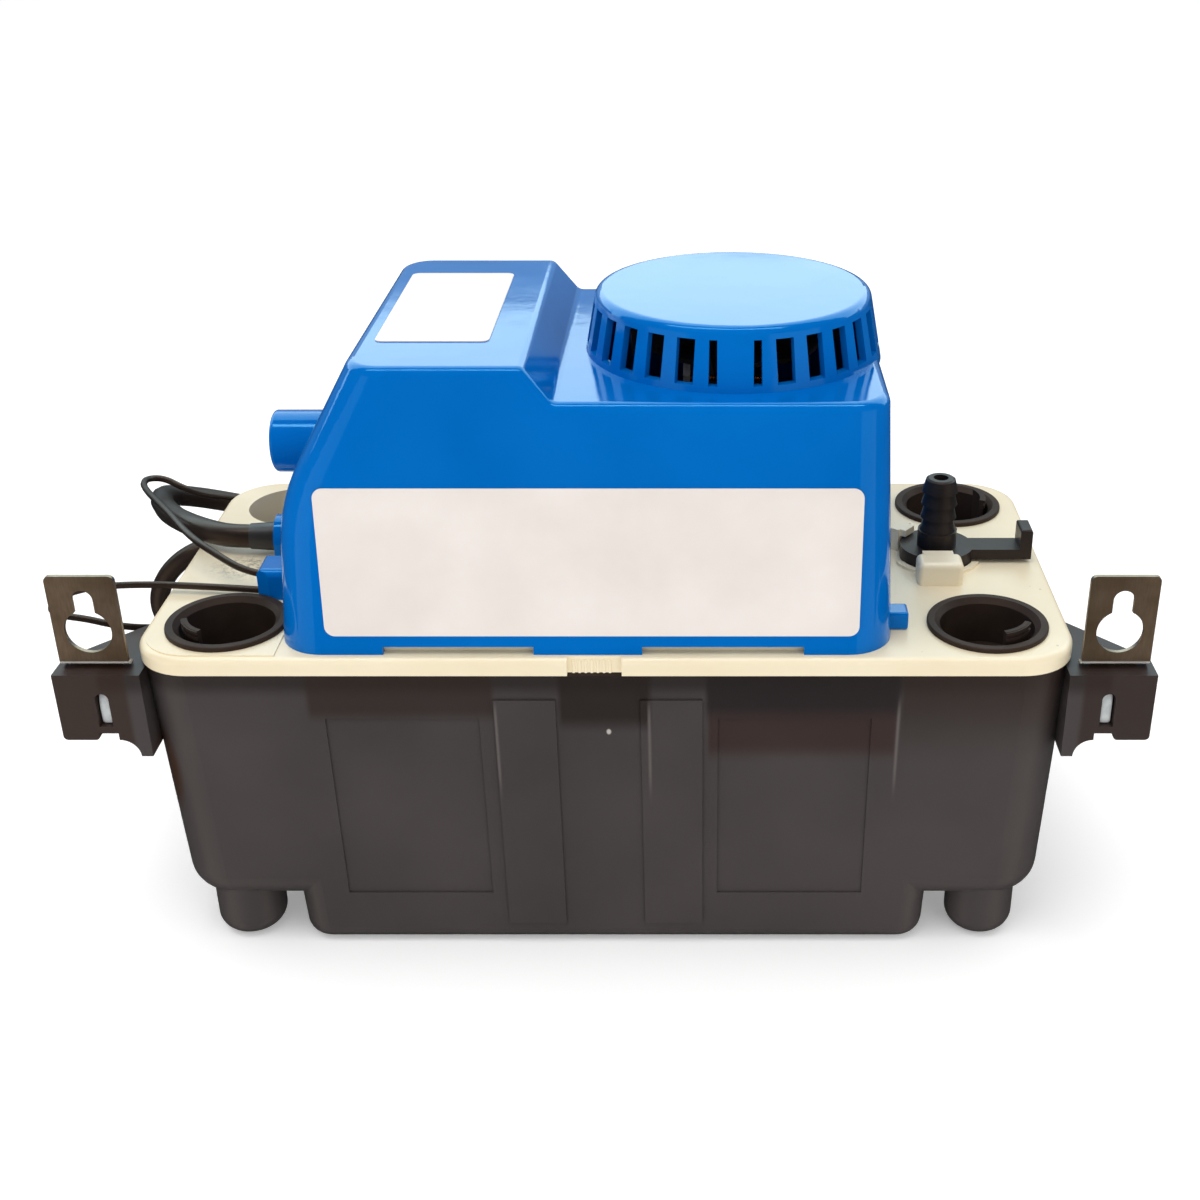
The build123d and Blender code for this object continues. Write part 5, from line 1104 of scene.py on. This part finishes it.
@dataclass
class Plug:
    """Grip bars on the plug's body and bend rings on its neck."""

    body_start: float = 15.0      # first bar, from the neck's end
    bars: int = 6
    bar_pitch: float = 3.2
    bar_size: Point = (1.8, 1.1, 8.0)
    bar_last: float = 0.8         # size of the last bar, as a share of the first
    neck_start: float = 1.0
    neck_height: float = 8.6
    rings: int = 4
    ring_pitch: float = 1.9
    ring_r: float = 4.2
    ring_last: float = 1.12

    def build(self, pump: Pump) -> list[bpy.types.Object]:
        """Makes the bars and the rings.

        Args:
            pump: the frame and the finishes.

        Returns:
            The pieces that the plug carries.
        """
        low, high = (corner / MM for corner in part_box("mains_plug"))
        middle = (low + high) / 2
        finish = pump.finish("plug_pvc")
        made = [bar_row().apply(f"plug_grip_{name}", {
            "Count": self.bars, "Start": Vector((low.x + self.body_start, y, middle.z)) * MM,
            "Step": Vector((self.bar_pitch, 0, 0)) * MM, "Turn": (0.0, 0.0, 0.0),
            "Size": Vector(self.bar_size) * MM, "Last Scale": self.bar_last, "Finish": finish})
            for name, y in (("left", high.y), ("right", low.y))]
        made.append(ring_row().apply("plug_neck_rings", {
            "Count": self.rings,
            "Start": Vector((low.x + self.neck_start, middle.y, self.neck_height)) * MM,
            "Step": Vector((self.ring_pitch, 0, 0)) * MM, "Turn": (0.0, math.radians(90), 0.0),
            "Size": Vector((self.ring_r,) * 3) * MM, "Last Scale": self.ring_last, "Finish": finish}))
        return [keep(piece) for piece in made]


@dataclass
class HangerSnap:
    """The snap pressed out of each hanger's tongue, seen in the window of the ear: a strip just in front of
    the tongue, whose pale finish is a painted highlight.
    """

    x: float = 129.8              # middle, from the pump's middle
    half_width: float = 1.55
    heights: tuple[float, ...] = (74.1, 74.5, 78.8, 82.4, 83.5)
    fronts: tuple[float, ...] = (-54.2, -54.4, -54.6, -54.0, -52.6)
    thick: float = 0.6

    def build(self, pump: Pump) -> list[bpy.types.Object]:
        """Makes the bowed strip of each snap.

        Args:
            pump: the frame and the finishes.

        Returns:
            The left and the right snap.
        """
        made = []
        half = self.half_width
        for name, side in (("left", -1), ("right", 1)):
            shape = bmesh.new()
            rings = [[shape.verts.new(Vector((side * self.x + x, depth, z)) * MM) for x, depth in (
                (-half, y), (half, y), (half, y + self.thick), (-half, y + self.thick))]
                for z, y in zip(self.heights, self.fronts)]
            join_rings(shape, rings)
            for end in (rings[0], rings[-1]):
                shape.faces.new(end)
            piece = mesh_object(f"hanger_snap_{name}", shape, pump.finish("snap_steel"))
            soften = piece.modifiers.new("soften", "SUBSURF")
            soften.levels = soften.render_levels = 2
            made.append(keep(smooth(piece, 60.0)))
        return made


@dataclass
class MotorWinding:
    """The outer layer of wire on the motor's coil."""

    turns: int = 24
    margin: float = 0.6           # from the coil's end to the first wire's middle

    def build(self, pump: Pump) -> bpy.types.Object:
        """Lays the turns side by side along the coil.

        Args:
            pump: the frame and the finishes.

        Returns:
            The turns.
        """
        low, high = (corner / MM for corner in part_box("motor_coil"))
        middle, size = (low + high) / 2, high - low
        step = (size.x - 2 * self.margin) / (self.turns - 1)
        return keep(wire_row().apply("motor_winding_turns", {
            "Count": self.turns, "Start": Vector((low.x + self.margin, middle.y, middle.z)) * MM,
            "Step": Vector((step, 0, 0)) * MM, "Turn": (0.0, math.radians(90), 0.0),
            "Size": Vector((size.z, size.y, size.y)) * MM, "Last Scale": 1.0,
            "Finish": pump.finish("copper_winding")}))


@dataclass(frozen=True)
class TieSize:
    """The band that a coil is tied with."""

    width: float
    thick: float
    corner: float = 0.7           # the corners' radius, as a share of the cord's


@dataclass
class Cords:
    """The mains lead and the two safety switch leads, with what is on them."""

    mains_tie: TieSize = TieSize(5.0, 1.0)
    lead_tie: TieSize = TieSize(2.4, 0.5)
    mains_ties: tuple[tuple[str, float], ...] = (("right", 350.0), ("left", 170.0))   # degrees
    lead_tie_at: float = 120.0    # degrees
    tip_length: float = 6.0
    tip_radius: float = 0.55
    tip_root: float = 1.0         # how deep the strands start inside the jacket
    tip_taper: float = 0.6        # length of the pointed end, and its radius as a share
    tip_droop: float = -0.02

    def tie(self, name: str, cord: FreeCord, angle: float, size: TieSize, pump: Pump) -> bpy.types.Object:
        """Makes one coil's tie.

        Args:
            name: the piece's name.
            cord: the cord whose coil it holds.
            angle: where it is round the coil, in degrees.
            size: its band.
            pump: the frame and the finishes.

        Returns:
            The tie.
        """
        band = CoilTie(cord.coil, cord.radius, angle, size.width, size.thick, size.corner * cord.radius)
        return keep(band.build(name, pump.finish("tie_nylon")))

    def bare_tip(self, name: str, cord: FreeCord, pump: Pump) -> bpy.types.Object:
        """Makes the stripped strands at a lead's end.

        Args:
            name: the piece's name.
            cord: the lead.
            pump: the frame and the finishes.

        Returns:
            The strands.
        """
        before, end = (Vector(point) for point in cord.tail[-2:])
        along = (end - before).normalized()
        r, length, taper = self.tip_radius, self.tip_length, self.tip_taper
        profile = [(-self.tip_root, 0.0), (-self.tip_root, r), (length - taper, r), (length, taper * r),
                   (length, 0.0)]
        return keep(lathe(name, profile, end, (along.x, along.y, self.tip_droop),
                          pump.finish("bare_copper"), steps=16))

    def build(self, pump: Pump) -> None:
        """Makes the cords and the pieces on them, and rides each on the pump's base.

        Args:
            pump: the frame and the finishes.
        """
        nodes = pump.frame["nodes"]
        jacket = pump.finish("cord_jacket")
        on_mains = [nodes["mains_plug"], nodes["mains_plug_blades"], nodes["mains_strain_relief"],
                    *Plug().build(pump),
                    *(self.tie(f"mains_coil_tie_{side}", MAINS, angle, self.mains_tie, pump)
                      for side, angle in self.mains_ties)]
        MAINS.declare(MAINS.build(jacket), on_mains)
        for place, cord in (("upper", LEAD_A), ("lower", LEAD_B)):
            on_lead = [self.tie(f"lead_coil_tie_{place}", cord, self.lead_tie_at, self.lead_tie, pump),
                       self.bare_tip(f"lead_tip_{place}", cord, pump)]
            cord.declare(cord.build(jacket), on_lead)


# ---- camera, lights and floor -----------------------------------------------------------------
@dataclass(frozen=True)
class SoftLight:
    """A rectangular studio light aimed at the pump."""

    name: str
    place: Point                  # metres
    aim: Point
    size: tuple[float, float]
    power: float                  # watts

    def build(self) -> None:
        """Adds the light to the scene."""
        lamp = bpy.data.lights.new(self.name, "AREA")
        lamp.shape = "RECTANGLE"
        lamp.size, lamp.size_y = self.size
        lamp.energy = self.power
        holder = placed(self.name, lamp)
        holder.location = self.place
        holder.rotation_euler = (Vector(self.aim) - Vector(self.place)).to_track_quat("-Z", "Y").to_euler()
        holder.visible_glossy = False


@dataclass(frozen=True)
class GlossCard:
    """A bright card that only gloss sees, set beside the table."""

    name: str
    low: Point                    # one corner, metres
    high: Point                   # the corner across from it
    strength: float
    colour: str = WHITE

    def build(self) -> None:
        """Adds the card as part of the stage."""
        shape = bmesh.new()
        (left, front, base), (right, back, top) = self.low, self.high
        level = base == top
        corners = (self.low, (right, front if level else back, base), self.high,
                   (left, back if level else front, top))
        shape.faces.new([shape.verts.new(corner) for corner in corners])
        glow = bpy.data.materials.new(self.name)
        glow.use_nodes = True
        glow.node_tree.nodes.clear()
        light = add_node(glow.node_tree, "ShaderNodeEmission", {
            "Color": linear(self.colour), "Strength": self.strength})
        add_node(glow.node_tree, "ShaderNodeOutputMaterial", {"Surface": light.outputs["Emission"]})
        card = mesh_object(self.name, shape, glow)
        card.visible_camera = card.visible_diffuse = card.visible_shadow = card.visible_transmission = False


@dataclass(frozen=True)
class Studio:
    """A white floor, a pale sky and soft lights, seen from a little above the front."""

    camera_place: Point = (0.02489, -0.41137, 0.29207)
    camera_tilt: float = 63.0     # degrees
    lens: float = 48.0
    sensor: float = 36.0
    shift: float = -0.085
    floor_size: float = 6.0
    floor_colour: str = WHITE
    floor_glow: float = 0.24      # keeps the floor white to its far edge
    ambient: float = 0.72         # how bright the sky is to matt surfaces
    gloss_high: float = 0.6       # how bright it is to gloss, above the horizon behind the pump
    gloss_low: float = 0.04       # and elsewhere
    gloss_colour: str = "#DCF4FF"  # a faint cyan
    horizon: tuple[float, float] = (-0.1, 0.12)   # rise of a ray at which the bright part begins, is full
    behind: tuple[float, float] = (0.3, 0.8)      # how far to the back it points, likewise
    lights: tuple[SoftLight, ...] = (
        SoftLight("overhead", (-0.25, -0.25, 1.6), (0.0, 0.0, 0.1), (1.2, 1.2), 10.0),
        SoftLight("front_fill", (0.9, -1.4, 0.9), (0.0, 0.0, 0.08), (0.9, 0.9), 2.0),
    )
    cards: tuple[GlossCard, ...] = (
        GlossCard("card_behind_left", (-1.2, 0.26, 0.246), (-0.04, 0.26, 1.2), 3.1, COOL_WHITE),
        GlossCard("card_behind_middle", (-0.04, 0.26, 0.233), (0.16, 0.26, 1.2), 3.1, COOL_WHITE),
        GlossCard("card_behind_right", (0.16, 0.26, 0.246), (1.2, 0.26, 1.2), 3.1, COOL_WHITE),
        GlossCard("card_overhead", (-0.5, -0.22, 0.9), (0.4, -0.08, 0.9), 9.0),
        GlossCard("card_front_right", (0.26, -0.45, -1.6), (0.9, -0.3, 0.25), 0.7, WARM_WHITE),
        GlossCard("card_front_left", (-0.9, -0.3, -1.6), (-0.29, -0.45, 0.25), 0.7, WARM_WHITE),
    )

    def build(self) -> None:
        """Adds the floor, the sky, the lights and the camera."""
        scene = bpy.context.scene
        self.floor()
        scene.world = self.sky()
        for light in (*self.lights, *self.cards):
            light.build()
        scene.view_settings.view_transform = "Standard"
        scene.view_settings.look = "None"
        lens = bpy.data.cameras.new("camera")
        lens.lens, lens.sensor_width, lens.shift_x = self.lens, self.sensor, self.shift
        lens.clip_start = 0.01
        camera = placed("camera", lens)
        camera.location = self.camera_place
        camera.rotation_euler = (math.radians(self.camera_tilt), 0.0, 0.0)
        scene.camera = camera

    def sky(self) -> bpy.types.World:
        """Makes a sky that is white to the camera, softer to matt surfaces and mostly dark to gloss.

        Returns:
            The world.
        """
        world = bpy.data.worlds.new("pale_sky")
        world.use_nodes = True
        tree = world.node_tree
        ray = add_node(tree, "ShaderNodeLightPath")
        way = add_node(tree, "ShaderNodeSeparateXYZ", {
            "Vector": add_node(tree, "ShaderNodeTexCoord").outputs["Generated"]})
        up, back = (add_node(tree, "ShaderNodeMapRange", {
            "Value": way.outputs[axis], "From Min": begins, "From Max": full}).outputs["Result"]
            for axis, (begins, full) in (("Z", self.horizon), ("Y", self.behind)))
        open_sky = add_node(tree, "ShaderNodeMath", {0: up, 1: back}, operation="MULTIPLY")
        gloss = add_node(tree, "ShaderNodeMapRange", {
            "Value": open_sky.outputs["Value"], "To Min": self.gloss_low, "To Max": self.gloss_high})
        lit = add_node(tree, "ShaderNodeMix", {
            0: ray.outputs["Is Glossy Ray"], 2: self.ambient, 3: gloss.outputs["Result"]})
        seen = add_node(tree, "ShaderNodeMix", {0: ray.outputs["Is Camera Ray"], 2: lit.outputs[0], 3: 1.0})
        colour = add_node(tree, "ShaderNodeMix", {
            0: ray.outputs["Is Glossy Ray"], 6: linear(WHITE), 7: linear(self.gloss_colour)},
            data_type="RGBA")
        connect(tree, tree.nodes["Background"], {"Strength": seen.outputs[0], "Color": colour.outputs[2]})
        return world

    def floor(self) -> None:
        """Adds the floor as part of the stage."""
        half = self.floor_size / 2
        shape = bmesh.new()
        corners = ((-half, -half), (half, -half), (half, half), (-half, half))
        shape.faces.new([shape.verts.new((x, y, 0.0)) for x, y in corners])
        paint = bpy.data.materials.new("white_floor")
        paint.use_nodes = True
        shader = paint.node_tree.nodes["Principled BSDF"]
        connect(paint.node_tree, shader, {
            "Base Color": linear(self.floor_colour), "Roughness": 0.9, "Specular IOR Level": 0.0,
            "Emission Color": linear(self.floor_colour), "Emission Strength": self.floor_glow})
        floor = mesh_object("floor", shape, paint)
        floor.visible_glossy = False


def main() -> None:
    """Loads the frame, dresses the pump and sets the studio."""
    logging.basicConfig(level=logging.INFO, format="%(name)s: %(message)s")
    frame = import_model()
    pump = Pump(frame)
    pump.dress()
    HangerSnap().build(pump)
    MotorWinding().build(pump)
    Cords().build(pump)
    Studio().build()


if __name__ == "__main__":
    main()
